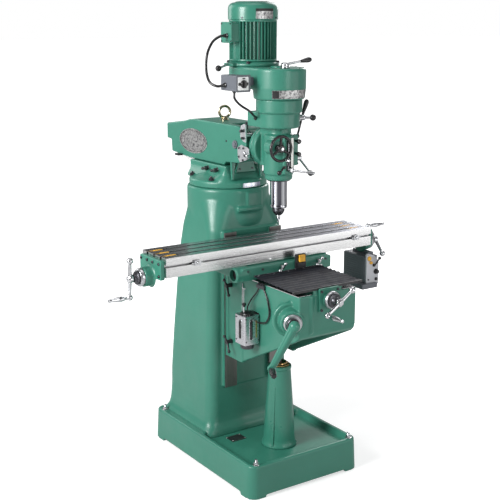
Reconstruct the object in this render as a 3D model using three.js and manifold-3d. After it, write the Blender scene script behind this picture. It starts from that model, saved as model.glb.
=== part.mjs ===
// Vertical turret milling machine with a knee, a T-slotted table and a swivelling head.
// Units are millimetres. +Z is up, +X runs along the table to the operator's right and
// +Y runs from the operator towards the column. The machine stands on z = 0. Pieces are
// laid out from the spindle axis, then shifted so the footprint's middle is the origin.
import * as THREE from 'three';
import { mergeVertices } from 'three/addons/utils/BufferGeometryUtils.js';
import Module from 'manifold-3d';

const wasm = await Module();
wasm.setup();

// ---- driving dimensions ------------------------------------------------------------
const GAP = 0.3; // clearance between neighbouring pieces
const SHIFT_X = 43, SHIFT_Y = -161.75;

const BASE_HALF = 340, BASE_FRONT = -262, BASE_REAR = 715, BASE_TOP = 173, TRAY_Z = 140;
const WALL = 17; // wall of the hollow column
const WAY_Y = 219, WAY_HALF = 176, WAY_Z0 = 405, WAY_Z1 = 1240; // column's way pad
const TURRET_Y = 460, TURRET_Z = 1450, TURRET_R = 206, COL_HEAD_R = 218;
const KNEE_FRONT = -407, KNEE_TOP = 1046, KNEE_BOTTOM = 588, KNEE_HALF = 170;
const KNEE_CEILING = KNEE_TOP - 24; // top of the knee's cavity
const SCREW_Y = -20; // elevating screw
const CRANK_Z = 925, CRANK_ANGLE = 28; // knee crank shaft, swung left of straight ahead
const FEED_Z = 1015; // cross-feed screw height
const TABLE_X = -43, TABLE_Y = 77, TABLE_LENGTH = 1244, TABLE_WIDTH = 229;
const TABLE_TOP = 1225, TABLE_BOTTOM = 1130;
const TABLE_FIT = 0.4; // clearance of the table on the saddle
const TABLE_LEFT = TABLE_X - TABLE_LENGTH / 2, TABLE_RIGHT = TABLE_X + TABLE_LENGTH / 2;
const LEAD_Z = 1123; // table feed screw height
const SADDLE_HALF = 285, SADDLE_FRONT = -80, SADDLE_REAR = 186;
const SADDLE_TOP = TABLE_BOTTOM - TABLE_FIT;
const RAM_HALF = 100, RAM_TOP = 1780, RAM_REAR = 930;
const NOD_Y = 235, NOD_Z = 1685, NOD_R = 93; // pivot on which the head nods
const TILT_FACE_Y = 95; // plane on which the head swivels left and right
const QUILL_R = 43, QUILL_BOTTOM = 1389, QUILL_TOP = 1700;
const HEAD_BOTTOM = 1530, HANDWHEEL_X = -62, HANDWHEEL_Z = 1697;
const DRUM_R = 130, DRUM_Z0 = 1925, DRUM_Z1 = 2074;
const MOTOR_Y = 225, MOTOR_Z0 = 2100, MOTOR_Z1 = 2297, MOTOR_TOP = 2384;

// ---- geometry helpers --------------------------------------------------------------
const vec = (x, y, z) => new THREE.Vector3(x, y, z);
const RAD = Math.PI / 180;
const LEFT = vec(-1, 0, 0), RIGHT = vec(1, 0, 0);
const FRONT = vec(0, -1, 0), REAR = vec(0, 1, 0), UP = vec(0, 0, 1);

function toManifold(geometry) {
  // Normals and texture coordinates would keep matching corners apart.
  for (const key of Object.keys(geometry.attributes)) {
    if (key !== 'position') geometry.deleteAttribute(key);
  }
  const merged = mergeVertices(geometry, 1e-3);
  const index = merged.index.array, kept = [];
  for (let i = 0; i < index.length; i += 3) {
    const [a, b, c] = index.slice(i, i + 3);
    if (a !== b && b !== c && a !== c) kept.push(a, b, c);
  }
  return new wasm.Manifold(new wasm.Mesh({
    numProp: 3,
    vertProperties: new Float32Array(merged.attributes.position.array),
    triVerts: new Uint32Array(kept),
  }));
}

function toGeometry(solid) {
  const mesh = solid.getMesh();
  const geometry = new THREE.BufferGeometry();
  geometry.setAttribute('position', new THREE.BufferAttribute(mesh.vertProperties, 3));
  geometry.setIndex(new THREE.BufferAttribute(mesh.triVerts, 1));
  const flat = geometry.toNonIndexed();
  flat.computeVertexNormals();
  return flat;
}

const join = (...solids) => solids.reduce((sum, solid) => sum.add(solid));
const cut = (body, ...tools) => tools.reduce((rest, tool) => rest.subtract(tool), body);

function box(x0, x1, y0, y1, z0, z1) {
  const geometry = new THREE.BoxGeometry(x1 - x0, y1 - y0, z1 - z0);
  geometry.translate((x0 + x1) / 2, (y0 + y1) / 2, (z0 + z1) / 2);
  return toManifold(geometry);
}

function roundSegments(radius) {
  if (radius > 60) return 28;
  if (radius > 30) return 24;
  return radius > 12 ? 16 : 8;
}

// A round bar or cone frustum between two points.
function bar(from, to, r0, r1 = r0, segments = roundSegments(Math.max(r0, r1))) {
  const axis = to.clone().sub(from), length = axis.length();
  const geometry = new THREE.CylinderGeometry(r1, r0, length, segments);
  geometry.applyQuaternion(new THREE.Quaternion().setFromUnitVectors(REAR, axis.normalize()));
  geometry.translate((from.x + to.x) / 2, (from.y + to.y) / 2, (from.z + to.z) / 2);
  return toManifold(geometry);
}
// Bars along an axis; `size` is start radius, then optional end radius and segments.
const barX = (x0, x1, y, z, ...size) => bar(vec(x0, y, z), vec(x1, y, z), ...size);
const barY = (y0, y1, x, z, ...size) => bar(vec(x, y0, z), vec(x, y1, z), ...size);
const barZ = (x, y, z0, z1, ...size) => bar(vec(x, y, z0), vec(x, y, z1), ...size);

function ball(centre, radius) {
  const geometry = new THREE.SphereGeometry(radius, 8, 6);
  geometry.translate(centre.x, centre.y, centre.z);
  return toManifold(geometry);
}

// A ring lying across Y, swung about the vertical by `turn`.
function ring(centre, radius, thickness, segments, turn = 0) {
  const geometry = new THREE.TorusGeometry(radius, thickness, 6, segments);
  geometry.rotateX(Math.PI / 2);
  geometry.rotateZ(turn);
  geometry.translate(centre.x, centre.y, centre.z);
  return toManifold(geometry);
}

// A profile of [radius, distance] turned about an axis; closed if it starts off the axis.
function turnAlong(origin, axis, profile, segments = 8) {
  const outline = profile[0][0] > 0 ? [...profile, profile[0]] : profile;
  const points = outline.map(([radius, along]) => new THREE.Vector2(radius, along));
  const geometry = new THREE.LatheGeometry(points, segments);
  const direction = axis.clone().normalize();
  geometry.applyQuaternion(new THREE.Quaternion().setFromUnitVectors(REAR, direction));
  geometry.translate(origin.x, origin.y, origin.z);
  const solid = toManifold(geometry);
  if (solid.volume() >= 0) return solid;
  // The profile ran the other way, so the faces point inwards: turn them over.
  const index = geometry.index.array;
  for (let i = 0; i < index.length; i += 3) {
    [index[i], index[i + 1]] = [index[i + 1], index[i]];
  }
  return toManifold(geometry);
}
// The same about a vertical axis, with a profile of [radius, z].
const turnZ = (x, y, profile, segments = 24) => turnAlong(vec(x, y, 0), UP, profile, segments);

function prism(outline, depth, basis, origin) {
  const shape = new THREE.Shape(outline.map(([a, b]) => new THREE.Vector2(a, b)));
  const geometry = new THREE.ExtrudeGeometry(shape, { depth, bevelEnabled: false, steps: 1 });
  geometry.applyMatrix4(new THREE.Matrix4().makeBasis(...basis));
  geometry.translate(origin.x, origin.y, origin.z);
  return toManifold(geometry);
}
// Outlines are [y, z], [x, z] and [x, y].
const prismX = (yz, x0, x1) => prism(yz, x1 - x0, [REAR, UP, RIGHT], vec(x0, 0, 0));
const prismY = (xz, y0, y1) => prism(xz, y1 - y0, [RIGHT, UP, FRONT], vec(0, y1, 0));
const prismZ = (xy, z0, z1) => prism(xy, z1 - z0, [RIGHT, REAR, UP], vec(0, 0, z0));

// An outline from one side's [offset, height] points and their mirror image.
function mirrored(side, centre = 0) {
  return [
    ...side.map(([offset, height]) => [centre + offset, height]),
    ...[...side].reverse().map(([offset, height]) => [centre - offset, height]),
  ];
}

function roundRect(half, front, rear, corner) {
  const right = half - corner, y0 = front + corner, y1 = rear - corner, steps = 4;
  const points = [];
  for (const [x, y, start] of [[right, y0, -90], [right, y1, 0], [-right, y1, 90], [-right, y0, 180]]) {
    for (let i = 0; i <= steps; i++) {
      const angle = (start + 90 * i / steps) * RAD;
      points.push([x + corner * Math.cos(angle), y + corner * Math.sin(angle)]);
    }
  }
  return points;
}

// A capped skin through rounded rectangles: rows are [z, half width, front, rear, corner].
function loft(rows) {
  const rings = rows.map(([, ...rect]) => roundRect(...rect));
  const count = rings[0].length, last = rings.length - 1;
  const positions = rings.flatMap((points, k) => points.flatMap(([x, y]) => [x, y, rows[k][0]]));
  const index = [];
  for (let k = 0; k < last; k++) {
    for (let i = 0; i < count; i++) {
      const here = k * count + i, next = k * count + (i + 1) % count;
      index.push(here, next, next + count, here, next + count, here + count);
    }
  }
  for (const k of [0, last]) {
    const contour = rings[k].map(([x, y]) => new THREE.Vector2(x, y));
    for (const face of THREE.ShapeUtils.triangulateShape(contour, [])) {
      const [a, b, c] = face.map((i) => k * count + i);
      index.push(...(k === 0 ? [a, c, b] : [a, b, c]));
    }
  }
  const geometry = new THREE.BufferGeometry();
  geometry.setAttribute('position', new THREE.Float32BufferAttribute(positions, 3));
  geometry.setIndex(index);
  return toManifold(geometry);
}

// ---- finishes and scene ------------------------------------------------------------
const PAINT = { color: 0x2f8a66, roughness: 0.4, metalness: 0 };
const STEEL = { color: 0xb9bcc0, roughness: 0.3, metalness: 1 };
const CHROME = { color: 0xd8dadd, roughness: 0.12, metalness: 1 };
const BLACK = { color: 0x1b1c1e, roughness: 0.5, metalness: 0 };
const GREY = { color: 0x4c555c, roughness: 0.5, metalness: 0 };
const BRONZE = { color: 0xa8783c, roughness: 0.35, metalness: 1 };
const ALUMINIUM = { color: 0xc9ccd0, roughness: 0.4, metalness: 1 };
const DULL_METAL = { color: 0x8a8f94, roughness: 0.5, metalness: 1 };

const machine = new THREE.Group();
const frame = new THREE.Group();
frame.position.set(SHIFT_X, SHIFT_Y, 0);
machine.add(frame);

function add(name, finish, solid) {
  const mesh = new THREE.Mesh(toGeometry(solid), new THREE.MeshStandardMaterial(finish));
  mesh.name = name;
  frame.add(mesh);
}

// ---- shared parts ------------------------------------------------------------------
// A straight stem with a ball on its tip.
const ballLever = (root, tip, stemRadius, ballRadius, segments = 10) =>
  join(bar(root, tip, stemRadius, stemRadius, segments), ball(tip, ballRadius));

// A crank with a ball at each tip of its arm and a grip on the first one.
function ballCrank(hub, axis, arm, gripReach, backReach) {
  const hubLength = 30, armAt = hubLength * 0.55;
  const at = (along, out) => hub.clone().addScaledVector(axis, along).addScaledVector(arm, out);
  const armHalf = (reach) => bar(at(armAt, 0), at(armAt, reach), 9, 7.5, 12);
  const grip = [[0, 0], [7, 0], [13, 30], [13, 48], [8, 84], [9, 94], [0, 99]];
  return join(
    bar(at(0, 0), at(hubLength, 0), 17),
    armHalf(gripReach), armHalf(-backReach),
    ball(at(armAt, gripReach), 15), ball(at(armAt, -backReach), 16),
    turnAlong(at(armAt + 13, gripReach), axis, grip),
  );
}

// ---- stand -------------------------------------------------------------------------
function baseCasting() {
  // z, inset from the footprint, corner radius
  const outer = loft([[0, 0, 46], [BASE_TOP - 6, 7, 42], [BASE_TOP, 13, 38]].map(
    ([z, inset, corner]) =>
      [z, BASE_HALF - inset, BASE_FRONT + inset, BASE_REAR - inset, corner]));
  const tray = loft([[TRAY_Z, 296, -216, 196, 20], [BASE_TOP + 2, 308, -230, 200, 30]]);
  const hollow = loft([[-1, 320, -242, 695, 28], [TRAY_Z - 20, 313, -235, 688, 24]]);
  // Low openings between the feet, front to rear and side to side.
  const lengthwise = box(-250, 250, BASE_FRONT - 5, BASE_REAR + 5, -1, 12);
  const crosswise = box(-BASE_HALF - 5, BASE_HALF + 5, -160, 610, -1, 12);
  const screwHole = barZ(0, SCREW_Y, 60, 200, 26);
  return cut(outer, tray, hollow, lengthwise, crosswise, screwHole);
}
add('base_casting', PAINT, baseCasting());

// Column stations: z, half width, front, rear, corner radius
const COLUMN = [
  [173.3, 289, 224, 704, 50], [188, 276, 231, 699, 52], [215, 266, 236, 694, 52],
  [320, 257, 243, 688, 50], [405, 256, 252, 686, 50], [625, 247, 252, 672, 50],
  [893, 236, 252, 650, 52], [1138, 227, 252, 620, 58], [1240, 222, 252, 606, 70],
  [1330, 214, 262, 604, 110], [1400, 205, 268, 620, 160],
];
function columnCasting() {
  const boreTop = 1390;
  const inner = loft(COLUMN.map(([z, half, front, rear, corner], i) =>
    [i ? Math.min(z, boreTop) : 172, half - WALL, front + WALL, rear - WALL, corner - 12]));
  const shell = cut(loft(COLUMN), inner.intersect(box(-400, 400, 0, 900, 100, 1380)));
  const head = turnZ(0, TURRET_Y, [
    [0, 1250], [202, 1250], [COL_HEAD_R - 4, 1262], [COL_HEAD_R, 1280],
    [COL_HEAD_R, 1436], [COL_HEAD_R - 8, TURRET_Z], [0, TURRET_Z],
  ]);
  const headBore = turnZ(0, TURRET_Y, [[0, 1240], [180, 1240], [190, boreTop], [0, boreTop]], 20);
  const pad = box(-WAY_HALF, WAY_HALF, WAY_Y, 276, WAY_Z0, WAY_Z1);
  // The dovetail groove runs past both ends of the pad.
  const groove = prismZ(
    mirrored([[104, WAY_Y - 1], [104, WAY_Y], [120, WAY_Y + 26]]), WAY_Z0 - 125, WAY_Z1 + 5);
  return cut(join(shell, cut(head, headBore), pad), groove);
}
add('column_casting', PAINT, columnCasting());

add('knee_screw_pedestal', PAINT, turnZ(0, SCREW_Y, [
  [24, TRAY_Z + GAP], [92, TRAY_Z + GAP], [92, 147], [86, 160], [82, 185],
  [58, 545], [60, 556], [60, 572], [24, 572],
]));
add('pedestal_nut', BRONZE, turnZ(0, SCREW_Y, [
  [13.5, 572.3], [50, 572.3], [50, 580], [38, 590], [13.5, 590],
], 20));

// ---- knee --------------------------------------------------------------------------
// Points on the knee crank shaft: distance out along it, sideways to the left, and up.
const crankOut = vec(-Math.sin(CRANK_ANGLE * RAD), -Math.cos(CRANK_ANGLE * RAD), 0);
const crankSide = vec(-Math.cos(CRANK_ANGLE * RAD), Math.sin(CRANK_ANGLE * RAD), 0);
const onCrank = (out, side = 0, up = 0) => vec(0, SCREW_Y, CRANK_Z + up)
  .addScaledVector(crankOut, out).addScaledVector(crankSide, side);

// Dovetail on top of the knee, or the saddle's groove for it when given clearance.
const kneeDovetail = (clearance, height, y0, y1) => prismY(mirrored([
  [80 + clearance, KNEE_TOP - 2], [80 + clearance, KNEE_TOP], [92 + clearance, KNEE_TOP + height],
]), y0, y1);

function kneeCasting() {
  const side = [ // y, z
    [KNEE_FRONT, KNEE_TOP], [KNEE_FRONT, 862], [KNEE_FRONT + 8, 838], [KNEE_FRONT + 28, 820],
    [80, KNEE_BOTTOM], [212, KNEE_BOTTOM], [212, KNEE_TOP],
  ];
  const cavity = [ // y, z
    [KNEE_FRONT + 20, KNEE_CEILING], [KNEE_FRONT + 20, 700], [-300, 560],
    [196, 560], [196, KNEE_CEILING],
  ];
  const roundedPlan = prismZ(roundRect(KNEE_HALF, KNEE_FRONT, 260, 26), 500, 1100);
  const body = cut(
    join(
      prismX(side, -KNEE_HALF, KNEE_HALF).intersect(roundedPlan),
      box(-WAY_HALF, WAY_HALF, 70, WAY_Y - 0.4, KNEE_BOTTOM, KNEE_TOP),
      bar(onCrank(300), onCrank(426), 66, 56),
    ),
    prismX(cavity, -148, 148),
  );
  const columnDovetail = prismZ(
    mirrored([[100, 190], [103.4, WAY_Y], [119.2, WAY_Y + 25.4]]), KNEE_BOTTOM, KNEE_TOP);
  const rearPocket = box(-70, 70, 196.2, 232, 560, KNEE_CEILING);
  return cut(
    join(
      cut(join(body, columnDovetail), rearPocket),
      kneeDovetail(0, 20, KNEE_FRONT, 205),
      box(-150, 150, SCREW_Y - 42, SCREW_Y + 42, 968, 984), // bridge holding the screw
    ),
    box(-38, 38, -330, 195, KNEE_TOP - 30, KNEE_TOP + 25), // slot for the cross-feed nut
    barZ(0, SCREW_Y, 960, 990, 14.5),
    barY(KNEE_FRONT - 5, -320, 0, FEED_Z, 14.6),
    bar(onCrank(280), onCrank(440), 13.5),
  );
}
add('knee_casting', PAINT, kneeCasting());

add('elevating_screw', STEEL, join(
  barZ(0, SCREW_Y, 380, 984.5, 13), barZ(0, SCREW_Y, 952, 966, 60, 52)));
add('knee_crank_shaft', STEEL, join(
  bar(onCrank(36), onCrank(60), 24), bar(onCrank(59), onCrank(461), 12.6),
  bar(onCrank(428), onCrank(442), 44)));

// The arm hangs down to the left; its grip runs parallel to the shaft.
function kneeCrank() {
  const reach = 228, armSide = 106 / reach, armUp = -201 / reach;
  const onArm = (out, distance) => onCrank(out, armSide * distance, armUp * distance);
  return join(
    bar(onCrank(461.3), onCrank(488), 23), bar(onCrank(488), onCrank(494), 23, 14),
    bar(onArm(481, 10), onArm(481, reach), 17, 12),
    bar(onArm(470, reach), onArm(490, reach), 17),
    bar(onArm(487, reach), onArm(495, reach), 10),
    turnAlong(onArm(494.5, reach), crankOut, [[0, 0], [13, 0], [17, 30], [14, 78], [0, 90]]),
  );
}
add('knee_crank', PAINT, kneeCrank());

add('cross_feed_bracket', PAINT, cut(
  join(
    box(-60, 60, -418, KNEE_FRONT - GAP, 955, 1072),
    barY(-431, -418, 0, FEED_Z, 38),
  ),
  barY(-440, -400, 0, FEED_Z, 14.6),
));
add('cross_feed_screw', STEEL, join(
  barY(-386, 170, 0, FEED_Z, 14), barY(-477.7, -380, 0, FEED_Z, 12.5)));
add('cross_feed_dial', ALUMINIUM, cut(
  barY(-450, -432, 0, FEED_Z, 43), barY(-455, -425, 0, FEED_Z, 12.8)));
add('cross_feed_crank', CHROME, ballCrank(
  vec(0, -478, FEED_Z), FRONT, vec(-0.82, 0, -0.572).normalize(), 88, 88));

add('lubricator', GREY, join(
  box(-259, -170.3, -85, 0, 745, 885),
  barZ(-215, -42, 884, 898, 34),
  barZ(-215, -42, 718, 746, 24, 27),
));
add('lubricator_pull_knob', BLACK, join(
  barZ(-235, -42, 898.3, 930, 4), ball(vec(-235, -42, 936), 10)));

for (const [place, z] of [['upper', 981], ['lower', 681]]) {
  const root = vec(-200, 160, z);
  add(`knee_lock_lever_${place}`, BLACK, join(
    barX(-206, -176.4, 160, z, 11),
    ballLever(root, vec(-212, 128, z - 42), 6, 8, 8),
    ballLever(root, vec(-206, 176, z + 24), 6, 8, 8),
  ));
}
add('way_cover_bellows', BLACK, prismX(
  [[-399, 1069], [-84, 1076], [-84, 1082], [-399, 1075]], -205, 210));

// ---- saddle ------------------------------------------------------------------------
// Dovetail that carries the table: half widths at its foot and top, and its top height.
const TAIL_FOOT = 62, TAIL_HEAD = 74, TAIL_Z = 1152;

function saddleCasting() {
  const tableDovetail = mirrored([
    [TAIL_FOOT - 2, SADDLE_TOP - 4], [TAIL_FOOT, SADDLE_TOP], [TAIL_HEAD, TAIL_Z],
  ], TABLE_Y);
  const body = join(
    box(-SADDLE_HALF, SADDLE_HALF, -30, SADDLE_REAR, KNEE_TOP + 26, SADDLE_TOP),
    box(-272, 276, SADDLE_FRONT, -29, 1063, SADDLE_TOP - 4), // front apron
    box(-166, 166, -30, SADDLE_REAR, KNEE_TOP + 0.4, KNEE_TOP + 27),
    prismX(tableDovetail, -SADDLE_HALF, SADDLE_HALF),
    barX(-300, -240, -46, 1094, 34), // boss at the left of the apron
  );
  return cut(
    body,
    barX(-305, -275, -46, 1094, 22),
    kneeDovetail(0.6, 20.5, -120, 220),
    barX(-320, 320, TABLE_Y, LEAD_Z, 17),
  );
}
add('saddle_casting', PAINT, saddleCasting());

add('cross_feed_nut', BRONZE, cut(
  join(barY(110, 150, 0, FEED_Z, 26), box(-18, 18, 110, 150, 1030, KNEE_TOP + 20.2)),
  barY(100, 160, 0, FEED_Z, 14.5),
));
for (const [side, x] of [['left', -40], ['right', 190]]) {
  const root = vec(x, -94, 1108);
  add(`saddle_lock_lever_${side}`, CHROME, join(
    barY(-98, SADDLE_FRONT - GAP, x, 1108, 10),
    ballLever(root, vec(x - 26, -112, 1098), 5.5, 8),
    ballLever(root, vec(x + 14, -100, 1122), 5.5, 8),
  ));
}

// ---- table -------------------------------------------------------------------------
function table() {
  const front = TABLE_Y - TABLE_WIDTH / 2, rear = TABLE_Y + TABLE_WIDTH / 2;
  const slotPitch = 63.5;
  const slot = [ // offset from the slot's middle, z
    [8, TABLE_TOP], [8, TABLE_TOP - 16], [14, TABLE_TOP - 16], [14, TABLE_TOP - 28],
  ];
  const groove = [[-TAIL_FOOT - TABLE_FIT, TABLE_BOTTOM], [-TAIL_HEAD - TABLE_FIT, TAIL_Z + TABLE_FIT]];
  const section = [ // y, z
    [front, TABLE_BOTTOM], ...mirrored(groove, TABLE_Y), [rear, TABLE_BOTTOM], [rear, TABLE_TOP],
    ...[1, 0, -1].flatMap((i) => mirrored(slot, TABLE_Y + i * slotPitch)),
    // the front edge with its small T-slot
    [front, TABLE_TOP], [front, 1190], [front + 12, 1190], [front + 12, 1193],
    [front + 18, 1193], [front + 18, 1176], [front + 12, 1176], [front + 12, 1179],
    [front, 1179],
  ];
  return prismX(section, TABLE_LEFT, TABLE_RIGHT);
}
add('table', STEEL, table());

// Each table end carries a bracket, a dial and a crank. `gripReach` and `backReach` are
// the crank's arm lengths.
const TABLE_ENDS = [
  {
    side: 'left', x: TABLE_LEFT, out: LEFT,
    arm: vec(0, 0.07, -1), gripReach: 92, backReach: 88,
  },
  {
    side: 'right', x: TABLE_RIGHT, out: RIGHT,
    arm: vec(0, 0.68, 0.73), gripReach: 88, backReach: 92,
  },
];
// The x range between two distances outwards from a table end.
const outwards = ({ x, out }, near, far) => (out.x < 0 ? [x - far, x - near] : [x + near, x + far]);
const leadBar = (end, near, far, radius) =>
  barX(...outwards(end, near, far), TABLE_Y, LEAD_Z, radius);

for (const end of TABLE_ENDS) {
  const plate = box(...outwards(end, GAP, 22), -24, 178, 1118, 1212);
  add(`table_bracket_${end.side}`, PAINT, cut(
    join(plate, leadBar(end, GAP, 68, 47)), leadBar(end, -5, 90, 12.8)));
}
add('table_screw', STEEL, join(
  barX(TABLE_LEFT + 20, TABLE_RIGHT - 20, TABLE_Y, LEAD_Z, 14),
  barX(TABLE_LEFT - 113.7, TABLE_RIGHT + 113.7, TABLE_Y, LEAD_Z, 12.5),
));
for (const end of TABLE_ENDS) {
  add(`table_dial_${end.side}`, ALUMINIUM, cut(
    leadBar(end, 70, 90, 43), leadBar(end, 65, 95, 12.8)));
}
for (const { side, x, out, arm, gripReach, backReach } of TABLE_ENDS) {
  const hub = vec(x + 114 * out.x, TABLE_Y, LEAD_Z);
  add(`table_crank_${side}`, CHROME, ballCrank(hub, out, arm.normalize(), gripReach, backReach));
}
add('power_feed_gearbox', GREY, join(
  box(TABLE_RIGHT - 10, TABLE_RIGHT + 78, -5, 172, 914, 1060),
  box(TABLE_RIGHT + 26, TABLE_RIGHT + 66, 12, 142, 1059, 1075.6),
  box(TABLE_RIGHT - 40, TABLE_RIGHT + 62, -4, 150, 888, 915),
));

// ---- turret and ram ----------------------------------------------------------------
function turretCasting() {
  const flange = turnZ(0, TURRET_Y, [
    [0, TURRET_Z + GAP], [TURRET_R, TURRET_Z + GAP], [TURRET_R, 1482], [TURRET_R - 8, 1490],
    [178, 1497], [150, 1508], [118, 1519], [112, 1545], [0, 1545],
  ]);
  return cut(
    join(flange, box(-118, 118, 305, 660, 1486, 1564)),
    prismY(mirrored([[60.6, 1530], [48.6, 1566]]), 200, 760), // groove for the ram
    turnZ(0, TURRET_Y, [[0, 1440], [172, 1440], [172, 1468], [100, 1500], [0, 1500]], 20),
  );
}
add('turret_casting', PAINT, turretCasting());
for (const [place, y] of [['front', 380], ['rear', 470]]) {
  add(`ram_lock_bolt_${place}`, BLACK, join(
    barX(-136, -118.3, y, 1538, 11, 11, 6),
    ballLever(vec(-130, y, 1538), vec(-150, y - 26, 1546), 5.5, 8),
  ));
}

function ramCasting() {
  // The nose is a half circle about the nod pivot.
  const noseRadius = RAM_TOP - NOD_Z, nose = [];
  for (let angle = -90; angle <= 90; angle += 15) {
    nose.push([
      NOD_Y - noseRadius * Math.cos(angle * RAD), NOD_Z - noseRadius * Math.sin(angle * RAD),
    ]);
  }
  const side = [ // y, z
    [RAM_REAR, 1735], [740, 1762], [640, RAM_TOP], ...nose, [330, 1584], [345, 1566.2],
    [700, 1566.2], [880, 1582], [884, 1648], [RAM_REAR, 1650],
  ];
  const dovetail = prismY(mirrored([[60, 1531], [48, 1567], [48, 1570]]), 300, 860);
  return cut(
    join(prismX(side, -RAM_HALF, RAM_HALF), dovetail),
    box(-60, 60, 100, NOD_Y + 100, 1500, 1800), // fork slot for the knuckle
    box(-72, 72, 380, 905, 1600, 1740), // hollow inside the ram
    barX(-130, 130, NOD_Y, NOD_Z, 16.4),
    box(-40, 40, 400, 800, 1500, 1610),
  );
}
add('ram_casting', PAINT, ramCasting());

const EYE_Y = 489;
add('eye_bolt', STEEL, join(
  turnZ(0, EYE_Y, [
    [0, RAM_TOP + GAP], [22, RAM_TOP + GAP], [22, RAM_TOP + 6], [12, RAM_TOP + 12],
    [10, 1796], [0, 1796],
  ], 20),
  ring(vec(0, EYE_Y, 1824), 30, 7.5, 16, -18 * RAD),
));

add('ram_knuckle', PAINT, cut(
  join(
    barX(-59.6, 59.6, NOD_Y, NOD_Z, NOD_R, NOD_R, 24),
    box(-59.6, 59.6, 120, NOD_Y, NOD_Z - 70, NOD_Z + 70),
    barY(TILT_FACE_Y + GAP, 124, 0, NOD_Z, 98, 94, 24),
  ),
  barX(-70, 70, NOD_Y, NOD_Z, 16.4),
));
add('nod_pivot_bolt', STEEL, join(
  barX(-106, 106, NOD_Y, NOD_Z, 16),
  barX(-112, -RAM_HALF - GAP, NOD_Y, NOD_Z, 27, 27, 6),
  barX(RAM_HALF + GAP, 112, NOD_Y, NOD_Z, 27, 27, 6),
));

// ---- head --------------------------------------------------------------------------
function headCasting() {
  const body = turnZ(0, 0, [
    [0, HEAD_BOTTOM], [62, HEAD_BOTTOM], [68, 1536], [68, 1557], [75, 1563], [75, 1750],
    [60, 1757], [60, 1790], [0, 1790],
  ], 20);
  return cut(
    join(
      body,
      barZ(0, 0, 1788, 1863, 101, 103, 24), barZ(0, 0, 1862, DRUM_Z0 - GAP, 113, 113, 24),
      box(-100, 100, 0, 128, 1790, 1862), box(-60, 60, 0, 78, 1600, 1795),
      barY(68, TILT_FACE_Y - GAP, 0, NOD_Z, 98, 98, 24),
      barY(-76, -10, HANDWHEEL_X, HANDWHEEL_Z, 34.5),
      box(34, 78, -58, 34, 1602, 1752), box(-26, 26, -82, -50, 1566, 1748),
    ),
    barZ(0, 0, HEAD_BOTTOM - 5, 1835, QUILL_R + 0.4, QUILL_R + 0.4, 24),
    barZ(0, 0, 1830, 1930, 30.5),
    box(-9, 9, -90, -64, 1580, 1735), // upright slot in the front
    barY(-80, -20, HANDWHEEL_X, HANDWHEEL_Z, 12.6),
    box(-12, 12, -70, -38, 1585, 1735),
  );
}
add('head_casting', PAINT, headCasting());

// A tapering plan around the spindle and motor axes.
const beltCase = (spindleRadius, motorRadius, z0, z1) => join(
  barZ(0, 0, z0, z1, spindleRadius, spindleRadius, 28),
  barZ(0, MOTOR_Y, z0, z1, motorRadius, motorRadius, 24),
  prismZ([
    [-spindleRadius, 0], [spindleRadius, 0], [motorRadius, MOTOR_Y], [-motorRadius, MOTOR_Y],
  ], z0, z1),
);
const CASE_WALL = 9, CASE_MOTOR_R = 120;
add('belt_housing', PAINT, cut(
  join(
    beltCase(DRUM_R, CASE_MOTOR_R, 1972, DRUM_Z1),
    barZ(0, 0, DRUM_Z0, 1980, DRUM_R - 6, DRUM_R, 28),
  ),
  beltCase(DRUM_R - CASE_WALL, CASE_MOTOR_R - CASE_WALL, 1980, DRUM_Z1 - CASE_WALL),
  barZ(0, 0, DRUM_Z0 + CASE_WALL, 1985, DRUM_R - 12, DRUM_R - CASE_WALL, 24),
  barZ(0, 0, 1915, 1940, 34), barZ(0, 0, 2050, 2080, 20),
  barZ(0, MOTOR_Y, 2060, 2080, 22),
));

add('motor_flange', PAINT, cut(
  join(
    barZ(0, MOTOR_Y, DRUM_Z1 + GAP, MOTOR_Z0 - GAP, 128, 124, 24),
    box(-148, 60, MOTOR_Y - 40, MOTOR_Y + 40, DRUM_Z1 + GAP, 2092),
  ),
  barZ(0, MOTOR_Y, 2060, 2110, 22),
));

function motorBody() {
  const fins = 28, plan = [];
  const finShape = [[-0.3, 103], [-0.2, 117], [0.2, 117], [0.3, 103]]; // share of pitch, radius
  for (let i = 0; i < fins; i++) {
    for (const [offset, radius] of finShape) {
      const angle = 2 * Math.PI * (i + offset) / fins;
      plan.push([radius * Math.cos(angle), MOTOR_Y + radius * Math.sin(angle)]);
    }
  }
  return cut(
    prismZ(plan, MOTOR_Z0, MOTOR_Z1),
    barZ(0, MOTOR_Y, MOTOR_Z0 - 5, MOTOR_Z1 - 60, 60),
    barZ(0, MOTOR_Y, MOTOR_Z1 - 70, MOTOR_Z1 + 5, 20),
    box(-140, -107.5, 174, 274, 2180, MOTOR_Z1 + 1), // flat behind the terminal box
  );
}
add('motor_body', PAINT, motorBody());
add('motor_fan_cover', PAINT, turnZ(0, MOTOR_Y, [
  [0, MOTOR_Z1 + GAP], [123, MOTOR_Z1 + GAP], [124, 2352], [120, 2366], [108, 2376],
  [84, MOTOR_TOP], [0, MOTOR_TOP],
]));
add('motor_terminal_box', PAINT, box(-160, -107.8, 180, 268, 2190, 2288));

// Grooved rim of both pulleys: radius, z
const PULLEY_RIM = [[60, 1986], [60, 1991], [50, 1996], [50, 2008], [60, 2013], [60, 2018]];
add('motor_shaft', DULL_METAL, join(
  barZ(0, MOTOR_Y, 1986, MOTOR_Z1 - 66, 12),
  turnZ(0, MOTOR_Y, [[11, 1986], ...PULLEY_RIM, [11, 2018]]),
));
add('spindle_pulley', DULL_METAL, turnZ(0, 0, [
  [17, 1840], [28, 1840], [28, 1986], ...PULLEY_RIM, [17, 2018],
]));

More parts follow.
